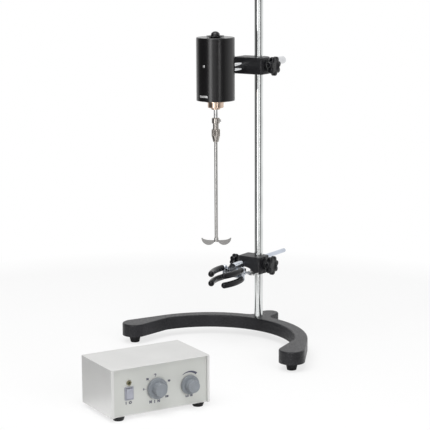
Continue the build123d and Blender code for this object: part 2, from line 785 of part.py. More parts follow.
# Vessel clamp cross head: column sleeve on the right, arched arm round the rod on the left
clamp_bottom = clamp_centre_z - clamp_boss_height / 2
clamp_top = clamp_centre_z + clamp_boss_height / 2
clamp_depth = clamp_boss_front + clamp_boss_rear
clamp_pad_x = clamp_boss_right + 4
clamp_knob_y = column_y - clamp_knob_setback
with BuildPart() as clamp_boss:
    with BuildSketch(Plane.XZ.offset(clamp_boss_front - column_y)) as clamp_profile:
        with BuildLine():
            Polyline(
                (clamp_arch_start_x, clamp_bottom),
                (clamp_boss_right, clamp_bottom),
                (clamp_boss_right, clamp_top),
                (-clamp_boss_left, clamp_top),
                (-clamp_boss_left, clamp_arm_underside + 1.5),
                (rod_x + 2, clamp_arm_underside),
            )
            Spline(
                (rod_x + 2, clamp_arm_underside),
                (-3, clamp_arm_underside - 4),
                (clamp_arch_start_x, clamp_bottom),
                tangents=((1, -0.05), (0.6, -1)),
            )
        make_face()
    extrude(amount=-clamp_depth)
    upright = clamp_boss.edges().filter_by(Axis.Z)
    fillet(upright, radius=boss_corner_fillet)
    with BuildSketch(Plane.XY.offset(clamp_bottom)):
        with Locations((0, column_y)):
            Circle(clamp_sleeve_radius)
    extrude(amount=clamp_boss_height)
    fillet(clamp_boss.faces().sort_by(Axis.Z)[-1].edges(), radius=boss_edge_fillet)
    with BuildSketch(Plane(origin=(0, column_y, clamp_centre_z), x_dir=(0, 1, 0), z_dir=(1, 0, 0))):
        Circle(big_knob_hub_radius + 1)
    extrude(amount=clamp_pad_x)
    with BuildSketch(Plane.XY.offset(clamp_bottom)):
        with Locations((0, column_y)):
            Circle(column_radius + running_gap)
    extrude(amount=clamp_boss_height, mode=Mode.SUBTRACT)
    with BuildSketch(Plane.XZ.offset(clamp_boss_front - column_y)):
        with Locations((rod_x, clamp_rod_z)):
            Circle(clamp_rod_radius + running_gap)
    extrude(amount=-clamp_depth, mode=Mode.SUBTRACT)
    with BuildSketch(Plane(origin=(0, column_y, clamp_centre_z), x_dir=(0, 1, 0), z_dir=(1, 0, 0))):
        Circle(stud_radius + running_gap)
    extrude(amount=clamp_pad_x, mode=Mode.SUBTRACT)
    with BuildSketch(Plane(origin=(rod_x, clamp_knob_y, clamp_rod_z), x_dir=(0, -1, 0), z_dir=(-1, 0, 0))):
        Circle(stud_radius + running_gap)
    extrude(amount=clamp_boss_left + rod_x, mode=Mode.SUBTRACT)
clamp_boss.part.label = "clamp_boss"
export_step(clamp_boss.part, "parts/clamp_boss.step")

clamp_column_seat = Plane(
    origin=(clamp_pad_x + seat_gap, column_y, clamp_centre_z), x_dir=(0, 1, 0), z_dir=(1, 0, 0)
)
clamp_column_knob = star_knob(
    clamp_column_seat, big_knob_radius, big_knob_thickness, big_knob_hub_radius, big_knob_hub_length
)
clamp_column_knob.part.label = "clamp_column_knob"
export_step(clamp_column_knob.part, "parts/clamp_column_knob.step")
clamp_column_stud = stud(clamp_column_seat, clamp_pad_x - column_radius)
clamp_column_stud.part.label = "clamp_column_stud"
export_step(clamp_column_stud.part, "parts/clamp_column_stud.step")

clamp_rod_seat = Plane(
    origin=(-clamp_boss_left - seat_gap, clamp_knob_y, clamp_rod_z), x_dir=(0, -1, 0), z_dir=(-1, 0, 0)
)
clamp_rod_knob = star_knob(
    clamp_rod_seat, small_knob_radius, small_knob_thickness, small_knob_hub_radius, small_knob_hub_length
)
clamp_rod_knob.part.label = "clamp_rod_knob"
export_step(clamp_rod_knob.part, "parts/clamp_rod_knob.step")
clamp_rod_stud = stud(clamp_rod_seat, clamp_boss_left + rod_x - clamp_rod_radius)
clamp_rod_stud.part.label = "clamp_rod_stud"
export_step(clamp_rod_stud.part, "parts/clamp_rod_stud.step")


# Clamp head: rod, yoke with two cheeks, two pins
yoke_front_y = column_y - yoke_front
yoke_rear_y = column_y - yoke_rear
pivot_y = column_y - pivot_setback
screw_y = column_y - wing_screw_setback
rod_tip_y = yoke_front_y + 4
with BuildPart() as clamp_rod:
    with BuildSketch(Plane(origin=(rod_x, rod_tip_y, clamp_rod_z), x_dir=(1, 0, 0), z_dir=(0, 1, 0))):
        Circle(clamp_rod_radius)
    extrude(amount=column_y + clamp_rod_rear - rod_tip_y)
    chamfer(clamp_rod.faces().sort_by(Axis.Y)[-1].edges(), length=0.8)
clamp_rod.part.label = "clamp_rod"
export_step(clamp_rod.part, "parts/clamp_rod.step")

cheek_top = jaw_plane_z + cheek_half_gap + cheek_thickness
cheek_bottom = jaw_plane_z - cheek_half_gap - cheek_thickness
with BuildPart() as clamp_yoke:
    with BuildSketch(Plane.XY.offset(cheek_bottom)) as cheek_plan:
        with Locations((rod_x - pivot_offset, pivot_y), (rod_x + pivot_offset, pivot_y)):
            Circle(barrel_radius)
        with Locations((rod_x, (yoke_rear_y + pivot_y) / 2)):
            Rectangle(9, yoke_rear_y - pivot_y)
        make_hull()
    extrude(amount=cheek_top - cheek_bottom)
    with BuildSketch(Plane(origin=(rod_x, yoke_front_y, clamp_rod_z), x_dir=(1, 0, 0), z_dir=(0, 1, 0))):
        Circle(yoke_socket_radius)
    extrude(amount=yoke_rear_y - yoke_front_y)
    with BuildSketch(Plane.XY.offset(jaw_plane_z - cheek_half_gap)):
        for side in (-1, 1):
            with Locations((rod_x + side * (web_half_width + yoke_half_width), pivot_y)):
                Rectangle(2 * yoke_half_width, 4 * yoke_half_width)
    extrude(amount=2 * cheek_half_gap, mode=Mode.SUBTRACT)
    with BuildSketch(Plane.XY.offset(cheek_bottom)):
        with Locations((rod_x - pivot_offset, pivot_y), (rod_x + pivot_offset, pivot_y)):
            Circle(pin_radius + fit_gap)
    extrude(amount=cheek_top - cheek_bottom, mode=Mode.SUBTRACT)
    with BuildSketch(Plane(origin=(rod_x, rod_tip_y, clamp_rod_z), x_dir=(1, 0, 0), z_dir=(0, 1, 0))):
        Circle(clamp_rod_radius + fit_gap)
    extrude(amount=yoke_rear_y - rod_tip_y, mode=Mode.SUBTRACT)
    with BuildSketch(Plane(origin=(rod_x, screw_y, jaw_plane_z), x_dir=(0, 1, 0), z_dir=(1, 0, 0))):
        Circle(wing_screw_radius + running_gap)
    extrude(amount=10, both=True, mode=Mode.SUBTRACT)
clamp_yoke.part.label = "clamp_yoke"
export_step(clamp_yoke.part, "parts/clamp_yoke.step")

with BuildPart() as jaw_pins:
    for side in (-1, 1):
        with BuildSketch(Plane.XY.offset(cheek_bottom)):
            with Locations((rod_x + side * pivot_offset, pivot_y)):
                Circle(pin_radius)
        extrude(amount=cheek_top - cheek_bottom)
        for head_z in (cheek_bottom - pin_head_height, cheek_top):
            with BuildSketch(Plane.XY.offset(head_z)):
                with Locations((rod_x + side * pivot_offset, pivot_y)):
                    Circle(pin_head_radius)
            extrude(amount=pin_head_height)
jaw_pins.part.label = "jaw_pins"
export_step(jaw_pins.part, "parts/jaw_pins.step")


# One prong's centre line: an arc whose chord is turned and whose middle bulges outwards
def prong_path(side, turn, level):
    chord = radians(turn)
    root = (rod_x + side * jaw_root_offset, column_y - jaw_root_setback)
    tip = (root[0] + prong_length * sin(chord), root[1] - prong_length * cos(chord))
    bulge = prong_length / 2 * sin(radians(prong_bend / 4)) / cos(radians(prong_bend / 4))
    middle = (
        (root[0] + tip[0]) / 2 + side * bulge * cos(chord),
        (root[1] + tip[1]) / 2 + side * bulge * sin(chord),
    )
    return (*root, level), (*middle, level), (*tip, level)


# Jaw: barrel on its pin, lever with a slot for the wing screw, post that carries two prongs
def clamp_jaw(side, turn):
    barrel = (rod_x + side * pivot_offset, pivot_y)
    post = (rod_x + side * jaw_root_offset, column_y - jaw_root_setback + 1.5)
    barrel_half = cheek_half_gap - seat_gap
    post_half = prong_spacing / 2 + jaw_post_radius
    with BuildPart() as jaw:
        with BuildSketch(Plane.XY.offset(jaw_plane_z - post_half)):
            with Locations(post):
                Circle(jaw_post_radius)
        extrude(amount=2 * post_half)
        fillet(jaw.edges().filter_by(GeomType.CIRCLE), radius=jaw_post_radius * 0.7)
        with BuildSketch(Plane.XY.offset(jaw_plane_z - barrel_half)) as arm_plan:
            with Locations(barrel):
                Circle(barrel_radius)
            with Locations(post):
                Circle(jaw_post_radius)
            make_hull()
        extrude(amount=2 * barrel_half)
        with BuildSketch(Plane.XY.offset(jaw_plane_z - barrel_half)):
            with Locations((barrel[0], pivot_y + lever_reach / 2)):
                Rectangle(lever_thickness, lever_reach)
            with Locations((barrel[0], pivot_y + lever_reach)):
                Circle(lever_thickness / 2)
        extrude(amount=2 * barrel_half)
        for level in (jaw_plane_z - prong_spacing / 2, jaw_plane_z + prong_spacing / 2):
            root, middle, tip = prong_path(side, turn, level)
            with BuildLine():
                core_line = ThreePointArc(root, middle, tip)
            with BuildSketch(Plane(origin=core_line @ 0, z_dir=core_line % 0)):
                Circle(prong_core_radius)
            sweep(path=core_line)
        with BuildSketch(Plane.XY.offset(jaw_plane_z - barrel_half)):
            with Locations(barrel):
                Circle(pin_radius + running_gap)
        extrude(amount=2 * barrel_half, mode=Mode.SUBTRACT)
        slot_plane = Plane(origin=(barrel[0], screw_y, jaw_plane_z), x_dir=(0, 1, 0), z_dir=(1, 0, 0))
        with BuildSketch(slot_plane):
            RectangleRounded(lever_slot_width, lever_slot_height, lever_slot_height * 0.45)
        extrude(amount=lever_thickness, both=True, mode=Mode.SUBTRACT)
    return jaw


# Vinyl sleeves of one jaw: closed tubes with round tips over the two prongs
def jaw_sleeves(side, turn):
    with BuildPart() as sleeves:
        for level in (jaw_plane_z - prong_spacing / 2, jaw_plane_z + prong_spacing / 2):
            root, middle, tip = prong_path(side, turn, level)
            with BuildLine():
                sleeve_line = ThreePointArc(root, middle, tip)
                cover_line = sleeve_line.trim(0.1, 1)
            with BuildSketch(Plane(origin=cover_line @ 0, z_dir=cover_line % 0)):
                Circle(sleeve_outer_radius)
            sweep(path=cover_line)
            with Locations(tip):
                Sphere(sleeve_outer_radius)
            with BuildSketch(Plane(origin=cover_line @ 0, z_dir=cover_line % 0)):
                Circle(prong_core_radius + fit_gap)
            sweep(path=cover_line, mode=Mode.SUBTRACT)
    return sleeves


jaw_turns = {"left": (-1, left_prong_turn), "right": (1, right_prong_turn)}
for jaw_name, (side, turn) in jaw_turns.items():
    jaw = clamp_jaw(side, turn)
    jaw.part.label = f"jaw_{jaw_name}"
    export_step(jaw.part, f"parts/jaw_{jaw_name}.step")
    sleeves = jaw_sleeves(side, turn)
    sleeves.part.label = f"jaw_sleeves_{jaw_name}"
    export_step(sleeves.part, f"parts/jaw_sleeves_{jaw_name}.step")

# Wing screws through the levers, held by the yoke's middle web
for wing_name, side in (("left", -1), ("right", 1)):
    wing_plane = Plane(origin=(rod_x, screw_y, jaw_plane_z), x_dir=(0, 1, 0), z_dir=(side, 0, 0))
    with BuildPart() as wing_screw:
        with BuildSketch(wing_plane.offset(0.4)):
            Circle(wing_screw_radius)
        extrude(amount=wing_hub_start)
        with BuildSketch(wing_plane.offset(wing_hub_start)):
            Circle(wing_hub_radius)
        extrude(amount=wing_hub_length)
        with BuildSketch(Plane.XY.offset(jaw_plane_z - wing_thickness / 2)) as wings:
            wing_mid_x = rod_x + side * (wing_start + wing_length / 2)
            for wing_side in (-1, 1):
                with Locations((wing_mid_x, screw_y + wing_side * (wing_span / 4 - 0.5))):
                    Ellipse(wing_length / 2, wing_span / 4 + 0.5)
        extrude(amount=wing_thickness)
    wing_screw.part.label = f"wing_screw_{wing_name}"
    export_step(wing_screw.part, f"parts/wing_screw_{wing_name}.step")


# Control box: planes of the case and of its front panel
width_dir = (cos(radians(case_yaw)), sin(radians(case_yaw)), 0)
front_dir = (sin(radians(case_yaw)), -cos(radians(case_yaw)), 0)
case_y = column_y - case_setback
case_bottom = case_foot_height
case_top = case_bottom + case_height
case_plane = Plane(origin=(case_x, case_y, case_bottom), x_dir=width_dir, z_dir=(0, 0, 1))


# A plane parallel to the front panel, its origin at the case's lower left corner as seen in front
def panel_plane(behind_front):
    along = -case_width / 2
    out = case_depth / 2 - behind_front
    return Plane(
        origin=(
            case_x + along * width_dir[0] + out * front_dir[0],
            case_y + along * width_dir[1] + out * front_dir[1],
            case_bottom,
        ),
        x_dir=width_dir,
        z_dir=front_dir,
    )


panel_face = panel_plane(case_rim_depth)
panel_back = panel_plane(case_rim_depth + front_panel_thickness)

# Folded cover: top and sides in one sheet, with a rim down each side of the front
with BuildPart() as case_cover:
    with BuildSketch(case_plane):
        RectangleRounded(case_width, case_depth, case_corner_radius)
    extrude(amount=case_height)
    top_edges = case_cover.faces().sort_by(Axis.Z)[-1].edges()
    fillet(top_edges, radius=sheet * 0.6)
    with BuildSketch(panel_plane(-1)):
        with Locations((case_width / 2, (case_height - sheet) / 2)):
            Rectangle(case_width - 2 * case_rim_width, case_height - sheet)
    extrude(amount=-case_depth - 2, mode=Mode.SUBTRACT)
    with BuildSketch(panel_face):
        with Locations((case_width / 2, (case_height - sheet) / 2)):
            Rectangle(case_width - 2 * sheet, case_height - sheet)
    extrude(amount=-case_depth, mode=Mode.SUBTRACT)
case_cover.part.label = "case_cover"
export_step(case_cover.part, "parts/case_cover.step")

# Chassis: floor with its rear panel folded up
inner_width = case_width - 2 * sheet - 2 * fit_gap
floor_depth = case_depth - case_rim_depth - rear_recess - fit_gap
rear_panel_height = case_height - sheet - fit_gap
rear_plane = panel_plane(case_depth - rear_recess)
with BuildPart() as case_chassis:
    with BuildSketch(panel_face):
        with Locations((case_width / 2, sheet / 2)):
            Rectangle(inner_width, sheet)
    extrude(amount=-floor_depth)
    with BuildSketch(rear_plane):
        with Locations((case_width / 2, rear_panel_height / 2)):
            Rectangle(inner_width, rear_panel_height)
    extrude(amount=sheet)
    with BuildSketch(rear_plane):
        with Locations((42, 40)):
            Circle(8 + fit_gap)
        with Locations((88, 40)):
            Circle(7 + fit_gap)
        with Locations((132, 40)):
            Circle(6 + fit_gap)
    extrude(amount=sheet, mode=Mode.SUBTRACT)
    with BuildSketch(case_plane):
        for foot_u in (-1, 1):
            for foot_v in (-1, 1):
                foot_at = (
                    foot_u * (case_width / 2 - case_foot_inset),
                    foot_v * (case_depth / 2 - case_foot_inset),
                )
                with Locations(foot_at):
                    Circle(2 + fit_gap)
    extrude(amount=sheet, mode=Mode.SUBTRACT)
case_chassis.part.label = "case_chassis"
export_step(case_chassis.part, "parts/case_chassis.step")

# Four screwed rubber feet under the chassis
with BuildPart() as case_feet:
    for foot_u in (-1, 1):
        for foot_v in (-1, 1):
            foot_at = (
                foot_u * (case_width / 2 - case_foot_inset),
                foot_v * (case_depth / 2 - case_foot_inset),
            )
            with BuildSketch(case_plane.offset(-case_foot_height)):
                with Locations(foot_at):
                    Circle(case_foot_sole_radius)
            with BuildSketch(case_plane):
                with Locations(foot_at):
                    Circle(case_foot_top_radius)
            loft()
            with BuildSketch(case_plane):
                with Locations(foot_at):
                    Circle(2)
            extrude(amount=sheet + 2)
case_feet.part.label = "case_feet"
export_step(case_feet.part, "parts/case_feet.step")

# Front panel with its cut-outs
panel_top_v = case_height - sheet - fit_gap
with BuildPart() as front_panel:
    with BuildSketch(panel_face):
        with Locations((case_width / 2, (sheet + panel_top_v) / 2)):
            Rectangle(inner_width, panel_top_v - sheet)
        with Locations((lamp_u, lamp_v)):
            Circle(lamp_radius + fit_gap, mode=Mode.SUBTRACT)
        with Locations((rocker_u, rocker_v)):
            Rectangle(rocker_frame_width - 2, rocker_frame_height - 2, mode=Mode.SUBTRACT)
        with Locations((timer_u, timer_v), (speed_u, speed_v)):
            Circle(panel_bush_radius + fit_gap, mode=Mode.SUBTRACT)
    extrude(amount=-front_panel_thickness)
front_panel.part.label = "front_panel"
export_step(front_panel.part, "parts/front_panel.step")

# Pilot lamp: bezel ring and lens
with BuildPart() as lamp_bezel:
    with BuildSketch(panel_face):
        with Locations((lamp_u, lamp_v)):
            Circle(lamp_bezel_radius)
            Circle(lamp_radius - 0.7, mode=Mode.SUBTRACT)
    extrude(amount=1.6)
    with BuildSketch(panel_face):
        with Locations((lamp_u, lamp_v)):
            Circle(lamp_radius)
            Circle(lamp_radius - 0.7, mode=Mode.SUBTRACT)
    extrude(amount=-8)
lamp_bezel.part.label = "lamp_bezel"
export_step(lamp_bezel.part, "parts/lamp_bezel.step")

lens_radius = lamp_radius - 0.7 - fit_gap
with BuildPart() as lamp_lens:
    with BuildSketch(panel_plane(case_rim_depth + 7)):
        with Locations((lamp_u, lamp_v)):
            Circle(lens_radius)
    extrude(amount=8.4)
    lens_front = lamp_lens.faces().sort_by(Axis(panel_face.origin, panel_face.z_dir))[-1]
    fillet(lens_front.edges(), radius=1.1)
lamp_lens.part.label = "lamp_lens"
export_step(lamp_lens.part, "parts/lamp_lens.step")

# Rocker switch: framed body and the rocker that tips in it
with BuildPart() as rocker_frame:
    with BuildSketch(panel_face):
        with Locations((rocker_u, rocker_v)):
            RectangleRounded(rocker_frame_width, rocker_frame_height, 1)
    extrude(amount=rocker_frame_lip)
    with BuildSketch(panel_face):
        with Locations((rocker_u, rocker_v)):
            Rectangle(rocker_frame_width - 2.2, rocker_frame_height - 2.2)
    extrude(amount=-rocker_body_depth)
    with BuildSketch(panel_plane(case_rim_depth + 6)):
        with Locations((rocker_u, rocker_v)):
            Rectangle(rocker_width + 0.8, rocker_height + 1)
    extrude(amount=6 + rocker_frame_lip, mode=Mode.SUBTRACT)
rocker_frame.part.label = "rocker_frame"
export_step(rocker_frame.part, "parts/rocker_frame.step")

rocker_pivot = panel_plane(case_rim_depth).location * Location((rocker_u, rocker_v, 0))
rocker_axis = Axis(rocker_pivot.position, Vector(*width_dir))
rocker_side = Plane(origin=rocker_pivot.position, x_dir=(0, 0, 1), z_dir=width_dir)
with BuildPart() as rocker:
    with BuildSketch(rocker_side):
        with BuildLine():
            Polyline(
                (-rocker_height / 2 + 0.4, -0.6),
                (-rocker_height / 2 + 0.4, 3.0),
                (0, 2.0),
                (rocker_height / 2 - 0.4, 3.0),
                (rocker_height / 2 - 0.4, -0.6),
                (2.2, -4.0),
                (-2.2, -4.0),
                close=True,
            )
        make_face()
    extrude(amount=rocker_width / 2, both=True)
rocker_solid = rocker.part.rotate(rocker_axis, rocker_tilt)
rocker_solid.label = "rocker"
export_step(rocker_solid, "parts/rocker.step")


# Control knob on the panel: skirt, tapered grip with a flat pointer face, bore for its shaft
def control_knob(place, skirt_radius):
    knob_seat = panel_plane(case_rim_depth - 1.2)
    with BuildPart() as knob:
        with BuildSketch(knob_seat):
            with Locations(place):
                Circle(skirt_radius)
        extrude(amount=skirt_thickness, taper=8)
        with BuildSketch(knob_seat.offset(skirt_thickness)):
            with Locations(place):
                Circle(grip_radius + 0.8)
        extrude(amount=knob_height - skirt_thickness, taper=3)
        knob_front = knob.faces().sort_by(Axis(panel_face.origin, panel_face.z_dir))[-1]
        fillet(knob_front.edges(), radius=0.8)
        with BuildSketch(knob_seat):
            with Locations(place):
                Circle(knob_shaft_radius + fit_gap)
        extrude(amount=knob_height - 4, mode=Mode.SUBTRACT)
        with BuildSketch(knob_seat):
            with Locations(place):
                Circle(panel_bush_radius + 2.5)
        extrude(amount=3.2, mode=Mode.SUBTRACT)
    return knob


# Shaft that turns with a control knob
def control_shaft(place):
    with BuildPart() as shaft:
        with BuildSketch(panel_plane(case_rim_depth + 14)):
            with Locations(place):
                Circle(knob_shaft_radius)
        extrude(amount=14 + knob_height - 4)
    return shaft


# Housing behind the panel with its bush and nut in front
def control_housing(place, width, height, depth):
    with BuildPart() as housing:
        with BuildSketch(panel_back):
            with Locations(place):
                RectangleRounded(width, height, 3)
        extrude(amount=-depth)
        with BuildSketch(panel_back):
            with Locations(place):
                Circle(panel_bush_radius)
        extrude(amount=front_panel_thickness + 0.4)
        with BuildSketch(panel_face):
            with Locations(place):
                RegularPolygon(panel_bush_radius + 1.2, 6, major_radius=False)
        extrude(amount=1.6)
        with BuildSketch(panel_plane(case_rim_depth + 14.3)):
            with Locations(place):
                Circle(knob_shaft_radius + running_gap)
        extrude(amount=14.3 + 2, mode=Mode.SUBTRACT)
    return housing


timer_knob = control_knob((timer_u, timer_v), timer_skirt_radius)
timer_knob.part.label = "timer_knob"
export_step(timer_knob.part, "parts/timer_knob.step")
timer_shaft = control_shaft((timer_u, timer_v))
timer_shaft.part.label = "timer_shaft"
export_step(timer_shaft.part, "parts/timer_shaft.step")
timer_movement = control_housing((timer_u, timer_v), 46, 46, 24)
timer_movement.part.label = "timer_movement"
export_step(timer_movement.part, "parts/timer_movement.step")

speed_knob = control_knob((speed_u, speed_v), speed_skirt_radius)
speed_knob.part.label = "speed_knob"
export_step(speed_knob.part, "parts/speed_knob.step")
speed_shaft = control_shaft((speed_u, speed_v))
speed_shaft.part.label = "speed_shaft"
export_step(speed_shaft.part, "parts/speed_shaft.step")
potentiometer = control_housing((speed_u, speed_v), 24, 26, 15)
potentiometer.part.label = "potentiometer"
export_step(potentiometer.part, "parts/potentiometer.step")

# Circuit board on four pillars, with a heat sink and a capacitor
board_u = case_width / 2
board_plane = case_plane.offset(sheet + 6)
with BuildPart() as circuit_board:
    with BuildSketch(board_plane):
        with Locations((0, 14)):
            Rectangle(110, 50)
    extrude(amount=board_thickness)
    with BuildSketch(case_plane.offset(sheet)):
        with Locations((0, 14)):
            with GridLocations(100, 40, 2, 2):
                Circle(3)
    extrude(amount=6)
    with BuildSketch(board_plane.offset(board_thickness)):
        with Locations((-30, 24)):
            Rectangle(34, 4)
        for fin in range(5):
            with Locations((-44 + 7 * fin, 28)):
                Rectangle(1.6, 8)
    extrude(amount=26)
    with BuildSketch(board_plane.offset(board_thickness)):
        with Locations((24, 16)):
            Circle(9)
    extrude(amount=24)
circuit_board.part.label = "circuit_board"
export_step(circuit_board.part, "parts/circuit_board.step")

# Rear panel fittings: mains gland, motor socket, fuse holder
rear_out = Plane(origin=rear_plane.origin, x_dir=width_dir, z_dir=(-front_dir[0], -front_dir[1], 0))


def rear_fitting(u, barrel, flange, flange_thickness, depth):
    with BuildPart() as fitting:
        with BuildSketch(rear_plane):
            with Locations((u, 40)):
                Circle(flange)
        extrude(amount=-flange_thickness)
        with BuildSketch(rear_plane):
            with Locations((u, 40)):
                Circle(barrel)
        extrude(amount=depth)
    return fitting


mains_gland = rear_fitting(42, 8, 10, 1.4, 12)
mains_gland.part.label = "mains_gland"
export_step(mains_gland.part, "parts/mains_gland.step")
motor_socket = rear_fitting(88, 7, 9.5, 1.4, 14)
motor_socket.part.label = "motor_socket"
export_step(motor_socket.part, "parts/motor_socket.step")
fuse_holder = rear_fitting(132, 6, 8, 1.4, 22)
fuse_holder.part.label = "fuse_holder"
export_step(fuse_holder.part, "parts/fuse_holder.step")
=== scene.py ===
import json
import math

import bmesh
import bpy
from mathutils import Matrix, Vector


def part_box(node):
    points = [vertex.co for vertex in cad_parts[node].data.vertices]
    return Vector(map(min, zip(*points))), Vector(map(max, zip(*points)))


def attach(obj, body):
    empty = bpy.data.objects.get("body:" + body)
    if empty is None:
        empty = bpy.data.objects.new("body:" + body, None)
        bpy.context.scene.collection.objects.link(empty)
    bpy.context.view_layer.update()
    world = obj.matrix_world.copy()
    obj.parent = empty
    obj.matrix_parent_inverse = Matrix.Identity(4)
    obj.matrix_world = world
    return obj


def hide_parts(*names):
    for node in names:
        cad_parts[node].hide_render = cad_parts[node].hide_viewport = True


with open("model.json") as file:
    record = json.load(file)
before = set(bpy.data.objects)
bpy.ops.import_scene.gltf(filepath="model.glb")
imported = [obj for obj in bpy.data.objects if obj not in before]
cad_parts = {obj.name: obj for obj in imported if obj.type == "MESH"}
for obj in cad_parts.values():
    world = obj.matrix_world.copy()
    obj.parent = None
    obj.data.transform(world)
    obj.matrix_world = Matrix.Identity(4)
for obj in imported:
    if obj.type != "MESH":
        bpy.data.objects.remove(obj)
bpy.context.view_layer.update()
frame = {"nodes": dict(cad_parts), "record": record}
nodes = frame["nodes"]
print("stage: frame loaded")


# Middle of a node's box along one axis (0 is x, 1 is y, 2 is z)
def middle(node, axis):
    low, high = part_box(node)
    return (low[axis] + high[axis]) / 2


# Places that several pieces share, in metres
columnY = middle("column", 1)
rodX = middle("stirring_rod", 0)
motorY = middle("stirring_rod", 1)

# Camera: solved from the photograph, relative to the column's foot
camSizes = {"lens": 132.1, "sensor": 36, "reach": 50, "at": (1.5121, -2.3903, 0.7643),
            "azimuth": 33.93, "pitch": -10.76, "roll": -0.28}
camData = bpy.data.cameras.new("camera")
camData.sensor_width = camSizes["sensor"]
camData.lens = camSizes["lens"]
camData.clip_end = camSizes["reach"]
camera = bpy.data.objects.new("camera", camData)
bpy.context.scene.collection.objects.link(camera)
camTurn = Matrix.Rotation(math.radians(camSizes["azimuth"]), 4, "Z")
camTip = Matrix.Rotation(math.radians(90 + camSizes["pitch"]), 4, "X")
camLean = Matrix.Rotation(math.radians(camSizes["roll"]), 4, "Z")
camPlace = Vector(camSizes["at"]) + Vector((0, columnY, 0))
camera.matrix_world = Matrix.Translation(camPlace) @ camTurn @ camTip @ camLean
bpy.context.scene.camera = camera
bpy.context.scene.view_settings.view_transform = "Standard"


# Result of a sum on two values, each a number or a socket
def mathNode(tree, operation, first, second=0.0):
    node = tree.nodes.new("ShaderNodeMath")
    node.operation = operation
    for value, socket in ((first, node.inputs[0]), (second, node.inputs[1])):
        if isinstance(value, (int, float)):
            socket.default_value = value
        else:
            tree.links.new(value, socket)
    return node.outputs["Value"]


# First socket's value where share is 0, the second's where it is 1
def between(tree, share, first, second):
    node = tree.nodes.new("ShaderNodeMix")
    node.data_type = "FLOAT"
    tree.links.new(share, node.inputs["Factor"])
    tree.links.new(first, node.inputs[2])
    tree.links.new(second, node.inputs[3])
    return node.outputs[0]


# Noise seldom leaves this span, so colours and levels run between its ends
noiseSpan = (0.3, 0.7)


# Materials
class Nodes:
    def __init__(self, name):
        self.mat = bpy.data.materials.new(name)
        self.mat.use_nodes = True
        self.tree = self.mat.node_tree
        self.shader = self.tree.nodes["Principled BSDF"]
        self.coords = self.add("ShaderNodeTexCoord")

    def add(self, kind, **values):
        node = self.tree.nodes.new(kind)
        for key, value in values.items():
            setattr(node, key, value)
        return node

    def link(self, fromSocket, toSocket):
        self.tree.links.new(fromSocket, toSocket)

    # Object coordinates, scaled per axis
    def space(self, scale=(1, 1, 1)):
        mapping = self.add("ShaderNodeMapping")
        mapping.inputs["Scale"].default_value = scale
        self.link(self.coords.outputs["Object"], mapping.inputs["Vector"])
        return mapping.outputs["Vector"]

    def noise(self, size, detail=3, rough=0.5, space=None):
        tex = self.add("ShaderNodeTexNoise")
        tex.inputs["Scale"].default_value = 1 / size
        tex.inputs["Detail"].default_value = detail
        tex.inputs["Roughness"].default_value = rough
        self.link(space or self.space(), tex.inputs["Vector"])
        return tex.outputs["Fac"]

    def cells(self, size):
        tex = self.add("ShaderNodeTexVoronoi")
        tex.inputs["Scale"].default_value = 1 / size
        self.link(self.space(), tex.inputs["Vector"])
        return tex.outputs["Distance"]

    def ramp(self, fac, low, high):
        ramp = self.add("ShaderNodeValToRGB")
        for stop, position, color in zip(ramp.color_ramp.elements, noiseSpan, (low, high)):
            stop.position = position
            stop.color = (*color, 1)
        self.link(fac, ramp.inputs["Fac"])
        return ramp.outputs["Color"]

    def level(self, fac, low, high, fromLow=0.0, fromHigh=1.0):
        tex = self.add("ShaderNodeMapRange")
        tex.inputs["From Min"].default_value = fromLow
        tex.inputs["From Max"].default_value = fromHigh
        tex.inputs["To Min"].default_value = low
        tex.inputs["To Max"].default_value = high
        self.link(fac, tex.inputs["Value"])
        return tex.outputs["Result"]

    def maths(self, operation, first, second):
        return mathNode(self.tree, operation, first, second)

    def bump(self, height, depth, strength=1.0, under=None):
        bump = self.add("ShaderNodeBump")
        bump.inputs["Distance"].default_value = depth
        bump.inputs["Strength"].default_value = strength
        self.link(height, bump.inputs["Height"])
        if under:
            self.link(under, bump.inputs["Normal"])
        return bump.outputs["Normal"]

    def finish(self, color, rough, normal=None, metallic=0.0, shine=0.5):
        self.link(color, self.shader.inputs["Base Color"])
        if isinstance(rough, float):
            self.shader.inputs["Roughness"].default_value = rough
        else:
            self.link(rough, self.shader.inputs["Roughness"])
        if normal:
            self.link(normal, self.shader.inputs["Normal"])
        self.shader.inputs["Metallic"].default_value = metallic
        self.shader.inputs["Specular IOR Level"].default_value = shine
        return self.mat


# Finishes: a Line, Grain or Patch is the size of its pattern in metres, and a Tone is the darker share of a
# colour. The depths of bars, turned and moulded faces are in metres, those of castings and enamel in grains.
finishSizes = {
    "castPatch": 0.05, "castFold": 1.7, "castFoldDepth": 0.6, "castSkinDepth": 0.4, "castShine": 0.36,
    "barLine": 0.0012, "barDrawn": 0.0005, "barPatch": 0.03, "barTone": 0.86, "barDepth": 0.0000004,
    "turnedLine": 0.0008, "turnedRound": 0.03, "turnedPatch": 0.008, "turnedTone": 0.8,
    "turnedDepth": 0.000008,
    "mouldedGrain": 0.0006, "mouldedPatch": 0.012, "mouldedTone": 0.85, "mouldedDepth": 0.00004,
    "enamelPatch": 0.06, "enamelTone": 0.94, "enamelDepth": 0.12,
}


def toned(color, share):
    return tuple(c * share for c in color)


# Painted casting with a fine crinkle
def crinkleMat(name, dark, light, grain, rough):
    n = Nodes(name)
    skin = n.noise(grain, detail=4, rough=0.6)
    fold = n.cells(grain * finishSizes["castFold"])
    color = n.ramp(n.noise(finishSizes["castPatch"], detail=2), dark, light)
    skinBump = n.bump(skin, grain * finishSizes["castSkinDepth"], strength=0.7)
    normal = n.bump(fold, grain * finishSizes["castFoldDepth"], strength=0.8, under=skinBump)
    return n.finish(color, n.level(skin, rough - 0.08, rough + 0.1), normal, shine=finishSizes["castShine"])


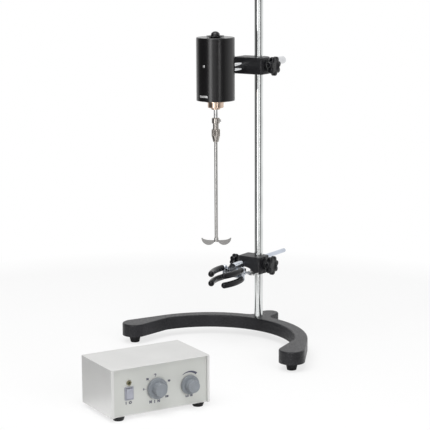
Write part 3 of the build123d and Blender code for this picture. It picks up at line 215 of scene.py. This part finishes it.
# Bright bar, drawn along an axis
def barMat(name, color, axis, rough):
    n = Nodes(name)
    scale = [1, 1, 1]
    scale[axis] = finishSizes["barDrawn"]
    lines = n.noise(finishSizes["barLine"], detail=2, rough=0.6, space=n.space(tuple(scale)))
    base = n.ramp(n.noise(finishSizes["barPatch"]), toned(color, finishSizes["barTone"]), color)
    return n.finish(base, n.level(lines, rough * 0.9, rough * 1.1, *noiseSpan),
                    n.bump(lines, finishSizes["barDepth"], strength=0.08), metallic=1.0)


# Turned metal, with rings about an upright axis
def turnedMat(name, color, rough, metallic=1.0):
    n = Nodes(name)
    across = finishSizes["turnedRound"]
    rings = n.noise(finishSizes["turnedLine"], detail=2, rough=0.6, space=n.space((across, across, 1)))
    base = n.ramp(n.noise(finishSizes["turnedPatch"]), toned(color, finishSizes["turnedTone"]), color)
    return n.finish(base, n.level(rings, rough * 0.75, rough * 1.3, *noiseSpan),
                    n.bump(rings, finishSizes["turnedDepth"], strength=0.6), metallic=metallic)


# Moulded plastic or rubber
def mouldedMat(name, color, rough, shine=0.5):
    n = Nodes(name)
    skin = n.noise(finishSizes["mouldedGrain"], rough=0.6)
    cloud = n.noise(finishSizes["mouldedPatch"])
    base = n.ramp(cloud, toned(color, finishSizes["mouldedTone"]), color)
    return n.finish(base, n.level(cloud, rough - 0.05, rough + 0.07, *noiseSpan),
                    n.bump(skin, finishSizes["mouldedDepth"], strength=0.7), shine=shine)


# Sheet metal enamel with a fine pebble
def enamelMat(name, color, grain, rough, tone=finishSizes["enamelTone"]):
    n = Nodes(name)
    skin = n.noise(grain, detail=4, rough=0.55)
    base = n.ramp(n.noise(finishSizes["enamelPatch"]), toned(color, tone), color)
    return n.finish(base, n.level(skin, rough - 0.06, rough + 0.08, *noiseSpan),
                    n.bump(skin, grain * finishSizes["enamelDepth"], strength=0.6))


mats = {
    "base_casting": crinkleMat("crinkleBlack", (0.006, 0.0058, 0.0075), (0.014, 0.0138, 0.017),
                               grain=0.0014, rough=0.32),
    "boss": crinkleMat("bossEnamel", (0.008, 0.008, 0.0095), (0.014, 0.014, 0.016),
                       grain=0.0009, rough=0.36),
    "rubber_foot": mouldedMat("footRubber", (0.008, 0.008, 0.009), 0.5, shine=0.3),
    "column": barMat("columnSteel", (0.86, 0.88, 0.875), axis=2, rough=0.1),
    "motor_rod": barMat("rodSteel", (0.8, 0.81, 0.83), axis=1, rough=0.12),
    "clamp_steel": barMat("clampRodSteel", (0.66, 0.71, 0.8), axis=1, rough=0.14),
    "stir_rod": barMat("stirRodSteel", (0.5, 0.49, 0.48), axis=2, rough=0.2),
    "steel_fastener": turnedMat("platedSteel", (0.66, 0.66, 0.66), 0.25),
    "stud": turnedMat("studSteel", (0.7, 0.7, 0.7), 0.22),
    "case_sheet": enamelMat("caseEnamel", (0.66, 0.66, 0.65), grain=0.0011, rough=0.42),
    "front_panel": enamelMat("panelEnamel", (0.56, 0.57, 0.545), grain=0.0005, rough=0.5),
    "lamp_bezel": turnedMat("bezelBrass", (0.42, 0.38, 0.25), 0.3),
    "lamp_lens": mouldedMat("lampLens", (0.05, 0.055, 0.02), 0.18),
    "switch_body": mouldedMat("switchBody", (0.36, 0.37, 0.42), 0.4),
    "switch_rocker": mouldedMat("switchRocker", (0.4, 0.41, 0.47), 0.32),
    "dial_knob": mouldedMat("dialKnob", (0.25, 0.27, 0.295), 0.4),
    "dial_shaft": turnedMat("dialShaft", (0.72, 0.6, 0.36), 0.3),
    "mechanism": mouldedMat("mechanism", (0.04, 0.04, 0.045), 0.45),
    "board": mouldedMat("board", (0.05, 0.2, 0.08), 0.4),
    "star_knob": mouldedMat("starKnob", (0.004, 0.004, 0.0055), 0.24, shine=0.28),
    "motor_cover": enamelMat("motorEnamel", (0.005, 0.0045, 0.0052), grain=0.0016, rough=0.2, tone=0.8),
    "motor_plate": turnedMat("motorPlate", (0.6, 0.6, 0.6), 0.3),
    "bearing_brass": turnedMat("bearingBrass", (0.78, 0.6, 0.48), 0.2),
    "iron_core": turnedMat("ironCore", (0.25, 0.25, 0.25), 0.5),
    "bearing_steel": turnedMat("bearingSteel", (0.68, 0.68, 0.68), 0.2),
    "gland": mouldedMat("gland", (0.008, 0.008, 0.009), 0.3),
    "chuck_metal": turnedMat("chuckMetal", (0.46, 0.43, 0.4), 0.24),
    "jaw_metal": turnedMat("jawMetal", (0.7, 0.74, 0.8), 0.16),
    "prong_vinyl": mouldedMat("prongVinyl", (0.004, 0.004, 0.0055), 0.22, shine=0.22),
}
plateMat = turnedMat("plateMetal", (0.86, 0.86, 0.86), 0.4, metallic=0.6)
inkMat = mouldedMat("panelInk", (0.1, 0.1, 0.14), 0.6)
pointerMat = mouldedMat("pointerPaint", (0.72, 0.73, 0.75), 0.5)

# The washer on top of the motor is black in the photograph, like the gland that it sits under
slotOf = {s["node"]: s["material_slot"] for s in frame["record"]["subparts"]}
slotOf["gland_washer"] = "gland"
for name, node in nodes.items():
    mat = mats[slotOf[name]]
    if not node.material_slots:
        node.data.materials.append(mat)
    for slot in node.material_slots:
        slot.material = mat
print("stage: materials set")


# Piece of the scene that belongs to a body: its mesh is already in place, in metres
def addPiece(name, mesh, body, mat):
    piece = bpy.data.objects.new(name, mesh)
    bpy.context.scene.collection.objects.link(piece)
    piece.data.materials.clear()
    piece.data.materials.append(mat)
    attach(piece, body)
    return piece


# Mesh of a closed shape with its faces turned outwards, and edges past an angle left sharp
def closedMesh(bm, name, sharpAngle=None):
    bmesh.ops.recalc_face_normals(bm, faces=bm.faces)
    mesh = bpy.data.meshes.new(name)
    bm.to_mesh(mesh)
    bm.free()
    if sharpAngle:
        mesh.set_sharp_from_angle(angle=math.radians(sharpAngle))
    return mesh


# Placing of an upright shape at a point, with its axis along a way
def standing(at, way):
    turn = Vector((0, 0, 1)).rotation_difference(Vector(way))
    return Matrix.Translation(at) @ turn.to_matrix().to_4x4()


# Shape from a profile of (radius, height) turned about an axis: radius 0 is a point on it
def turned(name, profile, at, steps, way=(0, 0, 1), sharpAngle=35):
    bm = bmesh.new()
    rings = []
    for radius, height in profile:
        if radius == 0:
            rings.append([bm.verts.new((0, 0, height))])
            continue
        ring = []
        for i in range(steps):
            a = 2 * math.pi * i / steps
            ring.append(bm.verts.new((radius * math.cos(a), radius * math.sin(a), height)))
        rings.append(ring)
    for low, high in zip(rings, rings[1:]):
        for i in range(steps):
            j = (i + 1) % steps
            if len(low) == 1:
                bm.faces.new((low[0], high[j], high[i]))
            elif len(high) == 1:
                bm.faces.new((low[i], low[j], high[0]))
            else:
                bm.faces.new((low[i], low[j], high[j], high[i]))
    for face in bm.faces:
        face.smooth = True
    bmesh.ops.transform(bm, matrix=standing(at, way), verts=bm.verts)
    return closedMesh(bm, name, sharpAngle)


# Flat shape from an outline in a plane, given a thickness along the plane's normal
def slab(name, outline, plane, thick):
    bm = bmesh.new()
    low = [bm.verts.new((x, y, 0)) for x, y in outline]
    top = [bm.verts.new((x, y, thick)) for x, y in outline]
    bm.faces.new(low)
    bm.faces.new(top)
    for i in range(len(outline)):
        j = (i + 1) % len(outline)
        bm.faces.new((low[i], low[j], top[j], top[i]))
    bmesh.ops.transform(bm, matrix=plane, verts=bm.verts)
    return closedMesh(bm, name)


# Star knobs: rounded lobes and a dished face, standing off the boss on their studs as in the photograph.
# Each knob says on which side of its boss it is (1 is +x) and the gap that it leaves there. The rounded
# edges are (in from the outline, along the axis) and the dish is (share of the radius, along the axis).
knobSizes = {
    "lobes": 7, "lobeDepth": 0.21, "lobePower": 1.7, "stepsPerLobe": 20, "sharpAngle": 50,
    "hubRound": 0.0005, "flareHeight": 0.0006, "flare": 1.12,
    "backEdge": ((-0.0017, 0), (-0.0007, 0.0003), (0, 0.0013)),
    "frontEdge": ((0, -0.0024), (-0.0003, -0.0013), (-0.0011, -0.0005), (-0.0024, 0)),
    "dish": ((0.5, 0.0002), (0.44, -0.0001), (0.39, -0.0009), (0, -0.0009)),
    "large": {"radius": 0.0175, "thick": 0.0085, "hub": 0.0034, "hubRadius": 0.008},
    "small": {"radius": 0.0125, "thick": 0.011, "hub": 0.0085, "hubRadius": 0.0065},
    "knobs": (
        ("boss_column_knob", "boss_column_stud", "carriage_knob", "large", 1, 0.0032),
        ("clamp_column_knob", "clamp_column_stud", "clamp_carriage_knob", "large", 1, 0.0026),
        ("boss_rod_knob", "boss_rod_stud", "motor_lock_knob", "small", -1, 0.0003),
        ("clamp_rod_knob", "clamp_rod_stud", "clamp_lock_knob", "small", -1, 0.0003),
    ),
}


# Rings from the hub's back to the middle of the face: (radius, share of the lobed outline, height)
def knobRings(size):
    radius, thick, hub, hubRadius = size["radius"], size["thick"], size["hub"], size["hubRadius"]
    rings = [
        (0, 0, -hub),
        (hubRadius - knobSizes["hubRound"], 0, -hub),
        (hubRadius, 0, knobSizes["hubRound"] - hub),
        (hubRadius, 0, -knobSizes["flareHeight"]),
        (hubRadius * knobSizes["flare"], 0, 0),
    ]
    rings += [(inset, 1, height) for inset, height in knobSizes["backEdge"]]
    rings += [(inset, 1, thick + height) for inset, height in knobSizes["frontEdge"]]
    rings += [(radius * share, 0, thick + height) for share, height in knobSizes["dish"]]
    return rings


def starKnob(name, centre, way, size):
    steps = knobSizes["lobes"] * knobSizes["stepsPerLobe"]
    bm = bmesh.new()
    loops = []
    for base, share, height in knobRings(size):
        if base == 0 and share == 0:
            loops.append([bm.verts.new((0, 0, height))] * steps)
            continue
        loop = []
        for i in range(steps):
            a = 2 * math.pi * i / steps
            valley = (0.5 - 0.5 * math.cos(knobSizes["lobes"] * a)) ** knobSizes["lobePower"]
            r = base + share * size["radius"] * (1 - knobSizes["lobeDepth"] * valley)
            loop.append(bm.verts.new((r * math.cos(a), r * math.sin(a), height)))
        loops.append(loop)
    for low, high in zip(loops, loops[1:]):
        for i in range(steps):
            j = (i + 1) % steps
            corners = []
            for corner in (low[i], low[j], high[j], high[i]):
                if corner not in corners:
                    corners.append(corner)
            bm.faces.new(corners).smooth = True
    bmesh.ops.transform(bm, matrix=standing(centre, way), verts=bm.verts)
    return closedMesh(bm, name, knobSizes["sharpAngle"])


for node, stud, body, kind, side, gap in knobSizes["knobs"]:
    size = knobSizes[kind]
    low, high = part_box(node)
    seat = low.x if side > 0 else high.x
    centre = Vector((seat + side * (gap + size["hub"]), middle(stud, 1), middle(stud, 2)))
    knobMesh = starKnob(node, centre, (side, 0, 0), size)
    knob = addPiece(node.replace("knob", "star"), knobMesh, body, mats["star_knob"])
    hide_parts(node)
print("stage: star knobs")

# Chuck nut: fine knurl between its flutes, of half-round ridges whose flat backs are inside the nut's skin
knurlSizes = {"count": 60, "radius": 0.0072, "wide": 0.0005, "tall": 0.0003, "sunk": 0.3, "steps": 4,
              "from": 0.0109, "high": 0.0104}


def ridgeMesh(name):
    steps = knurlSizes["steps"]
    tall = knurlSizes["tall"]
    bm = bmesh.new()
    ends = []
    for height in (-knurlSizes["high"] / 2, knurlSizes["high"] / 2):
        end = []
        for i in range(steps + 1):
            a = math.pi * (i / steps - 0.5)
            out = tall * math.cos(a) - tall * knurlSizes["sunk"]
            end.append(bm.verts.new((out, knurlSizes["wide"] / 2 * math.sin(a), height)))
        ends.append(end)
    low, top = ends
    for i in range(steps + 1):
        j = (i + 1) % (steps + 1)
        bm.faces.new((low[i], low[j], top[j], top[i]))
    bm.faces.new(low)
    bm.faces.new(top)
    return closedMesh(bm, name)


# Ring of equal ridges about an axis, repeated by Geometry Nodes and joined into one plain mesh
def ridgeRing(name, ridge, count, radius, mat):
    group = bpy.data.node_groups.new(name, "GeometryNodeTree")
    group.interface.new_socket("Geometry", in_out="INPUT", socket_type="NodeSocketGeometry")
    group.interface.new_socket("Geometry", in_out="OUTPUT", socket_type="NodeSocketGeometry")
    countSocket = group.interface.new_socket("Count", in_out="INPUT", socket_type="NodeSocketInt")
    radiusSocket = group.interface.new_socket("Radius", in_out="INPUT", socket_type="NodeSocketFloat")
    source = group.nodes.new("NodeGroupInput")
    result = group.nodes.new("NodeGroupOutput")
    circle = group.nodes.new("GeometryNodeMeshCircle")
    spots = group.nodes.new("GeometryNodeInstanceOnPoints")
    outward = group.nodes.new("FunctionNodeAlignEulerToVector")
    where = group.nodes.new("GeometryNodeInputPosition")
    realize = group.nodes.new("GeometryNodeRealizeInstances")
    paint = group.nodes.new("GeometryNodeSetMaterial")
    paint.inputs["Material"].default_value = mat
    for first, second in (
        (source.outputs["Count"], circle.inputs["Vertices"]),
        (source.outputs["Radius"], circle.inputs["Radius"]),
        (circle.outputs["Mesh"], spots.inputs["Points"]),
        (source.outputs["Geometry"], spots.inputs["Instance"]),
        (where.outputs["Position"], outward.inputs["Vector"]),
        (outward.outputs["Rotation"], spots.inputs["Rotation"]),
        (spots.outputs["Instances"], realize.inputs["Geometry"]),
        (realize.outputs["Geometry"], paint.inputs["Geometry"]),
        (paint.outputs["Geometry"], result.inputs["Geometry"]),
    ):
        group.links.new(first, second)
    carrier = bpy.data.objects.new(name, ridge)
    bpy.context.scene.collection.objects.link(carrier)
    repeat = carrier.modifiers.new("repeat", "NODES")
    repeat.node_group = group
    repeat[countSocket.identifier] = count
    repeat[radiusSocket.identifier] = radius
    bpy.context.view_layer.update()
    mesh = bpy.data.meshes.new_from_object(carrier.evaluated_get(bpy.context.evaluated_depsgraph_get()))
    bpy.data.objects.remove(carrier)
    return mesh


knurl = ridgeRing("chuck_knurl", ridgeMesh("chuck_ridge"), knurlSizes["count"], knurlSizes["radius"],
                  mats["chuck_metal"])
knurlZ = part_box("chuck_nut")[0].z + knurlSizes["from"] + knurlSizes["high"] / 2
knurl.transform(Matrix.Translation((rodX, motorY, knurlZ)))
addPiece("chuck_knurl", knurl, "chuck_nut", mats["chuck_metal"])

# Motor: small cap screw and a bare plate, both on the front of the cover
motorSizes = {
    "radius": 0.0336, "screwZ": 0.508, "screwAngle": -92.5, "screwSteps": 32,
    "screwProfile": ((0, -0.001), (0.0022, -0.001), (0.0024, 0.0006), (0.0019, 0.0013), (0.0011, 0.0015),
                     (0.001, 0.0007), (0, 0.0006)),
    "plateZ": 0.4558, "plateAngle": -95.5, "plateArc": 29, "plateSteps": 24, "plateHeight": 0.0036,
    "plateThick": 0.0003, "plateCorner": 0.75,
}


def onMotor(angle, radius, z):
    a = math.radians(angle)
    return Vector((rodX + radius * math.cos(a), motorY + radius * math.sin(a), z))


def motorPlate(name):
    steps = motorSizes["plateSteps"]
    radius, thick = motorSizes["radius"], motorSizes["plateThick"]
    bm = bmesh.new()
    columns = []
    for i in range(steps + 1):
        angle = motorSizes["plateAngle"] + motorSizes["plateArc"] * (i / steps - 0.5)
        half = motorSizes["plateHeight"] / 2 * (motorSizes["plateCorner"] if i in (0, steps) else 1)
        column = []
        for depth, side in ((0, -1), (0, 1), (thick, 1), (thick, -1)):
            column.append(bm.verts.new(onMotor(angle, radius + depth, motorSizes["plateZ"] + side * half)))
        columns.append(column)
    for first, second in zip(columns, columns[1:]):
        for i in range(4):
            j = (i + 1) % 4
            bm.faces.new((first[i], first[j], second[j], second[i]))
    bm.faces.new(columns[0])
    bm.faces.new(columns[-1])
    return closedMesh(bm, name)


screwAngle = math.radians(motorSizes["screwAngle"])
screwAt = onMotor(motorSizes["screwAngle"], motorSizes["radius"], motorSizes["screwZ"])
screwMesh = turned("motor_cover_screw", motorSizes["screwProfile"], screwAt, motorSizes["screwSteps"],
                   way=(math.cos(screwAngle), math.sin(screwAngle), 0))
addPiece("motor_cover_screw", screwMesh, "motor_unit", mats["stud"])
addPiece("motor_plate", motorPlate("motor_plate"), "motor_unit", plateMat)
print("stage: motor pieces")

# Control box: places on its front panel are (from the left, from the bottom, out of the panel)
caseSizes = {"x": 0.078, "setback": 0.457, "yaw": 64.2, "width": 0.174, "depth": 0.105, "height": 0.077,
             "foot": 0.0065, "recess": 0.003, "ink": 0.00006}
yaw = math.radians(caseSizes["yaw"])
widthWay = Vector((math.cos(yaw), math.sin(yaw), 0))
frontWay = Vector((math.sin(yaw), -math.cos(yaw), 0))
caseCentre = Vector((caseSizes["x"], columnY - caseSizes["setback"], caseSizes["foot"]))
panelOut = caseSizes["depth"] / 2 - caseSizes["recess"]
panelCorner = caseCentre - widthWay * caseSizes["width"] / 2 + frontWay * panelOut


def panelPlane(u, v, out=0.0, turn=0.0):
    at = panelCorner + widthWay * u + Vector((0, 0, v)) + frontWay * out
    rows = Matrix((widthWay, Vector((0, 0, 1)), frontWay)).transposed().to_4x4()
    return Matrix.Translation(at) @ rows @ Matrix.Rotation(turn, 4, "Z")


# Printed marks: one mesh of text, ticks and the speed wedge
printSizes = {
    "timer": (0.080, 0.0365), "speed": (0.138, 0.0335), "labelRadius": 0.0218, "labelHeight": 0.0042,
    "labelSpread": 0.0009, "tickIn": 0.0181, "tickOut": 0.0202, "tickHalf": 0.0003,
    "labels": ((177, "0"), (134, "30"), (97, "60"), (21, "90"), (-43, "120")),
    "textWeight": 0.08, "textOut": 0.00002, "wordHeight": 0.0056, "pairHeight": 0.8,
    "words": ((0.0263, 0.0205, "I"), (0.0338, 0.0203, "O"), (0.069, 0.0155, "M"), (0.0761, 0.0150, "I"),
              (0.0832, 0.0152, "N"), (0.1342, 0.0150, "LO"), (0.1415, 0.0150, "HI")),
    "wedgeRadius": 0.0205, "wedgeFrom": 125, "wedgeTo": 50, "wedgeThin": 0.0008, "wedgeThick": 0.004,
    "wedgeSteps": 20,
}
ink = bmesh.new()


def addText(text, height, u, v):
    curve = bpy.data.curves.new("word", "FONT")
    curve.body = text
    curve.size = height
    curve.align_x = "CENTER"
    curve.align_y = "CENTER"
    curve.offset = height * printSizes["textWeight"]
    curve.extrude = caseSizes["ink"]
    word = bpy.data.objects.new("word", curve)
    bpy.context.scene.collection.objects.link(word)
    bpy.context.view_layer.update()
    mesh = bpy.data.meshes.new_from_object(word.evaluated_get(bpy.context.evaluated_depsgraph_get()))
    mesh.transform(panelPlane(u, v, printSizes["textOut"]))
    ink.from_mesh(mesh)
    bpy.data.objects.remove(word)
    bpy.data.curves.remove(curve)
    bpy.data.meshes.remove(mesh)


def addFlat(outline, plane):
    mesh = slab("flat", outline, plane, caseSizes["ink"])
    ink.from_mesh(mesh)
    bpy.data.meshes.remove(mesh)


# Outline of a straight mark, from one distance to another
def strip(low, high, half):
    return [(low, -half), (high, -half), (high, half), (low, half)]


# Outline of the speed dial's wedge, which thickens on its way round
def wedge():
    radius, thin, thick = printSizes["wedgeRadius"], printSizes["wedgeThin"], printSizes["wedgeThick"]
    outer, inner = [], []
    for i in range(printSizes["wedgeSteps"] + 1):
        share = i / printSizes["wedgeSteps"]
        a = math.radians(printSizes["wedgeFrom"] + (printSizes["wedgeTo"] - printSizes["wedgeFrom"]) * share)
        half = (thin + (thick - thin) * share) / 2
        outer.append(((radius + half) * math.cos(a), (radius + half) * math.sin(a)))
        inner.append(((radius - half) * math.cos(a), (radius - half) * math.sin(a)))
    return outer + inner[::-1]


timerU, timerV = printSizes["timer"]
for angle, label in printSizes["labels"]:
    a = math.radians(angle)
    r = printSizes["labelRadius"] + printSizes["labelSpread"] * len(label) * abs(math.cos(a))
    addText(label, printSizes["labelHeight"], timerU + r * math.cos(a), timerV + r * math.sin(a))
    tick = strip(printSizes["tickIn"], printSizes["tickOut"], printSizes["tickHalf"])
    addFlat(tick, panelPlane(timerU, timerV, turn=a))
for u, v, word in printSizes["words"]:
    addText(word, printSizes["wordHeight"] * (printSizes["pairHeight"] if len(word) > 1 else 1), u, v)
addFlat(wedge(), panelPlane(*printSizes["speed"]))
inkMesh = bpy.data.meshes.new("panel_print")
ink.to_mesh(inkMesh)
ink.free()
addPiece("panel_print", inkMesh, "stand", inkMat)

# Case feet: nearer the front edge than the solids, as in the photograph
feetSizes = {"frontInset": 0.0107, "sideInset": 0.0165, "backInset": 0.017, "steps": 48,
             "profile": ((0, 0), (0.0078, 0), (0.0084, 0.0006), (0.0102, 0.0064), (0, 0.0065))}
frontOut = caseSizes["depth"] / 2 - feetSizes["frontInset"]
backOut = feetSizes["backInset"] - caseSizes["depth"] / 2
feet = bmesh.new()
for side in (-1, 1):
    across = caseCentre + widthWay * side * (caseSizes["width"] / 2 - feetSizes["sideInset"])
    for out in (frontOut, backOut):
        spot = across + frontWay * out
        foot = turned("foot", feetSizes["profile"], Vector((spot.x, spot.y, 0)), feetSizes["steps"])
        feet.from_mesh(foot)
        bpy.data.meshes.remove(foot)
feetMesh = bpy.data.meshes.new("case_rubber_feet")
feet.to_mesh(feetMesh)
feet.free()
caseFeet = addPiece("case_rubber_feet", feetMesh, "stand", mats["rubber_foot"])
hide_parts("case_feet")

# Pointer lines on both dials: the last number is the angle that the line points to, from the panel's width
pointerSizes = {"width": 0.0012, "length": 0.0075, "from": 0.0015, "out": 0.01615, "thick": 0.0001,
                "dials": (("timer_dial", "timer", 150), ("speed_dial", "speed", 225))}
pointerEnd = pointerSizes["from"] + pointerSizes["length"]
pointer = strip(pointerSizes["from"], pointerEnd, pointerSizes["width"] / 2)
for body, dial, angle in pointerSizes["dials"]:
    plane = panelPlane(*printSizes[dial], pointerSizes["out"], math.radians(angle))
    mesh = slab(body + "_line", pointer, plane, pointerSizes["thick"])
    addPiece(body + "_line", mesh, body, pointerMat)
print("stage: control box pieces")

# What polished and painted faces mirror, as (degrees round from the camera's side, level): soft bright
# strips either side of the camera, dark between and beside them, and pale again behind the object
studioSizes = {
    "brightest": 5.0,
    "levels": (
        (-180, 0.95), (-128, 0.85), (-116, 0.16), (-90, 0.12), (-52, 0.16), (-40, 0.55), (-34, 4.2),
        (-24, 4.2), (-19, 1.0), (-12, 0.95), (6, 0.7), (12, 0.3), (22, 0.3), (25, 3.6), (28, 3.6),
        (31, 0.2), (54, 0.2), (66, 0.5), (98, 0.9), (180, 0.95),
    ),
}
cameraSide = math.atan2(camSizes["at"][1], camSizes["at"][0])


# Level of the studio in the direction of a vector. The camera's side is half way along the ramp, and
# one more whole turn keeps the sum above nought on whichever side the camera stands.
def studioLevel(tree, vector):
    parts = tree.nodes.new("ShaderNodeSeparateXYZ")
    tree.links.new(vector, parts.inputs["Vector"])
    angle = mathNode(tree, "ARCTAN2", parts.outputs["Y"], parts.outputs["X"])
    fromCamera = mathNode(tree, "SUBTRACT", angle, cameraSide)
    turns = mathNode(tree, "ADD", mathNode(tree, "DIVIDE", fromCamera, 2 * math.pi), 0.5 + 1)
    share = mathNode(tree, "FRACT", turns)
    ramp = tree.nodes.new("ShaderNodeValToRGB")
    ramp.color_ramp.interpolation = "EASE"
    stops = ramp.color_ramp.elements
    places = [(degrees + 180) / 360 for degrees, level in studioSizes["levels"]]
    for place in places[1:-1]:
        stops.new(place)
    for stop, place, (degrees, level) in zip(stops, places, studioSizes["levels"]):
        stop.position = place
        stop.color = (*[level / studioSizes["brightest"]] * 3, 1)
    tree.links.new(share, ramp.inputs["Fac"])
    return mathNode(tree, "MULTIPLY", ramp.outputs["Color"], studioSizes["brightest"])


# Floor: white paper that keeps the shadow near the object and fades to plain white further out.
# Mirrored rays see the studio's levels on it sooner than the camera sees it white.
floorSizes = {"half": 30, "dark": (0.95, 0.95, 0.95), "light": (0.965, 0.965, 0.965), "patch": 0.4,
              "rough": 0.8, "paperTo": 0.3, "whiteFrom": 0.95, "bounce": 0.5, "lift": 0.72,
              "mirrorFrom": 0.18, "mirrorTo": 0.4}
half = floorSizes["half"]
floorMesh = bpy.data.meshes.new("floor")
floorCorners = [(-half, -half, 0), (half, -half, 0), (half, half, 0), (-half, half, 0)]
floorMesh.from_pydata(floorCorners, [], [(0, 1, 2, 3)])
floor = bpy.data.objects.new("floor", floorMesh)
bpy.context.scene.collection.objects.link(floor)
paper = Nodes("floorPaper")
paperTone = paper.ramp(paper.noise(floorSizes["patch"], 2), floorSizes["dark"], floorSizes["light"])
paper.finish(paperTone, floorSizes["rough"])
rays = paper.add("ShaderNodeLightPath")
spread = paper.add("ShaderNodeVectorMath", operation="LENGTH")
paper.link(paper.coords.outputs["Object"], spread.inputs[0])
far = paper.level(spread.outputs["Value"], 0, 1, floorSizes["paperTo"], floorSizes["whiteFrom"])
lift = paper.maths("MULTIPLY", rays.outputs["Is Camera Ray"], floorSizes["lift"])
near = paper.level(spread.outputs["Value"], 0, 1, floorSizes["mirrorFrom"], floorSizes["mirrorTo"])
nearMirrored = paper.maths("MULTIPLY", near, rays.outputs["Is Glossy Ray"])
fade = paper.maths("MAXIMUM", paper.maths("MAXIMUM", far, lift), nearMirrored)
mirrorRay = paper.maths("MAXIMUM", rays.outputs["Is Glossy Ray"], rays.outputs["Is Transmission Ray"])
plain = paper.level(rays.outputs["Is Camera Ray"], floorSizes["bounce"], 1)
seen = between(paper.tree, mirrorRay, plain, studioLevel(paper.tree, paper.coords.outputs["Object"]))
glow = paper.add("ShaderNodeEmission")
paper.link(seen, glow.inputs["Strength"])
blend = paper.add("ShaderNodeMixShader")
paper.link(fade, blend.inputs["Fac"])
paper.link(paper.shader.outputs["BSDF"], blend.inputs[1])
paper.link(glow.outputs["Emission"], blend.inputs[2])
paper.link(blend.outputs["Shader"], paper.tree.nodes["Material Output"].inputs["Surface"])
floor.data.materials.append(paper.mat)

# World: white to the camera, the strips to mirrored rays, an even soft light to the rest
worldSizes = {"even": 0.42}
world = bpy.data.worlds.new("studio")
bpy.context.scene.world = world
world.use_nodes = True
sky = world.node_tree
backdrop = sky.nodes["Background"]
backdrop.inputs["Color"].default_value = (1, 1, 1, 1)
skyRays = sky.nodes.new("ShaderNodeLightPath")
skyCoords = sky.nodes.new("ShaderNodeTexCoord")
even = sky.nodes.new("ShaderNodeMapRange")
even.inputs["To Min"].default_value = worldSizes["even"]
even.inputs["To Max"].default_value = 1.0
sky.links.new(skyRays.outputs["Is Camera Ray"], even.inputs["Value"])
skySeen = between(sky, skyRays.outputs["Is Glossy Ray"], even.outputs["Result"],
                  studioLevel(sky, skyCoords.outputs["Generated"]))
sky.links.new(skySeen, backdrop.inputs["Strength"])

# Lamps: only the key lamp shows in polished faces
lampSizes = {
    "keyLamp": {"at": (0.2, -0.9, 2.6), "aim": (0, 0, 0.2), "size": (2.2, 1.8), "power": 46,
                "mirrored": True},
    "fillLamp": {"at": (2.6, -1.0, 1.1), "aim": (0, -0.1, 0.2), "size": (1.4, 1.4), "power": 26,
                 "mirrored": False},
}
for name, size in lampSizes.items():
    data = bpy.data.lights.new(name, "AREA")
    data.shape = "RECTANGLE"
    data.size, data.size_y = size["size"]
    data.energy = size["power"]
    light = bpy.data.objects.new(name, data)
    bpy.context.scene.collection.objects.link(light)
    way = Vector(size["aim"]) - Vector(size["at"])
    light.rotation_euler = way.to_track_quat("-Z", "Y").to_euler()
    light.location = size["at"]
    light.visible_glossy = size["mirrored"]
print("stage: camera, floor and lamps set")
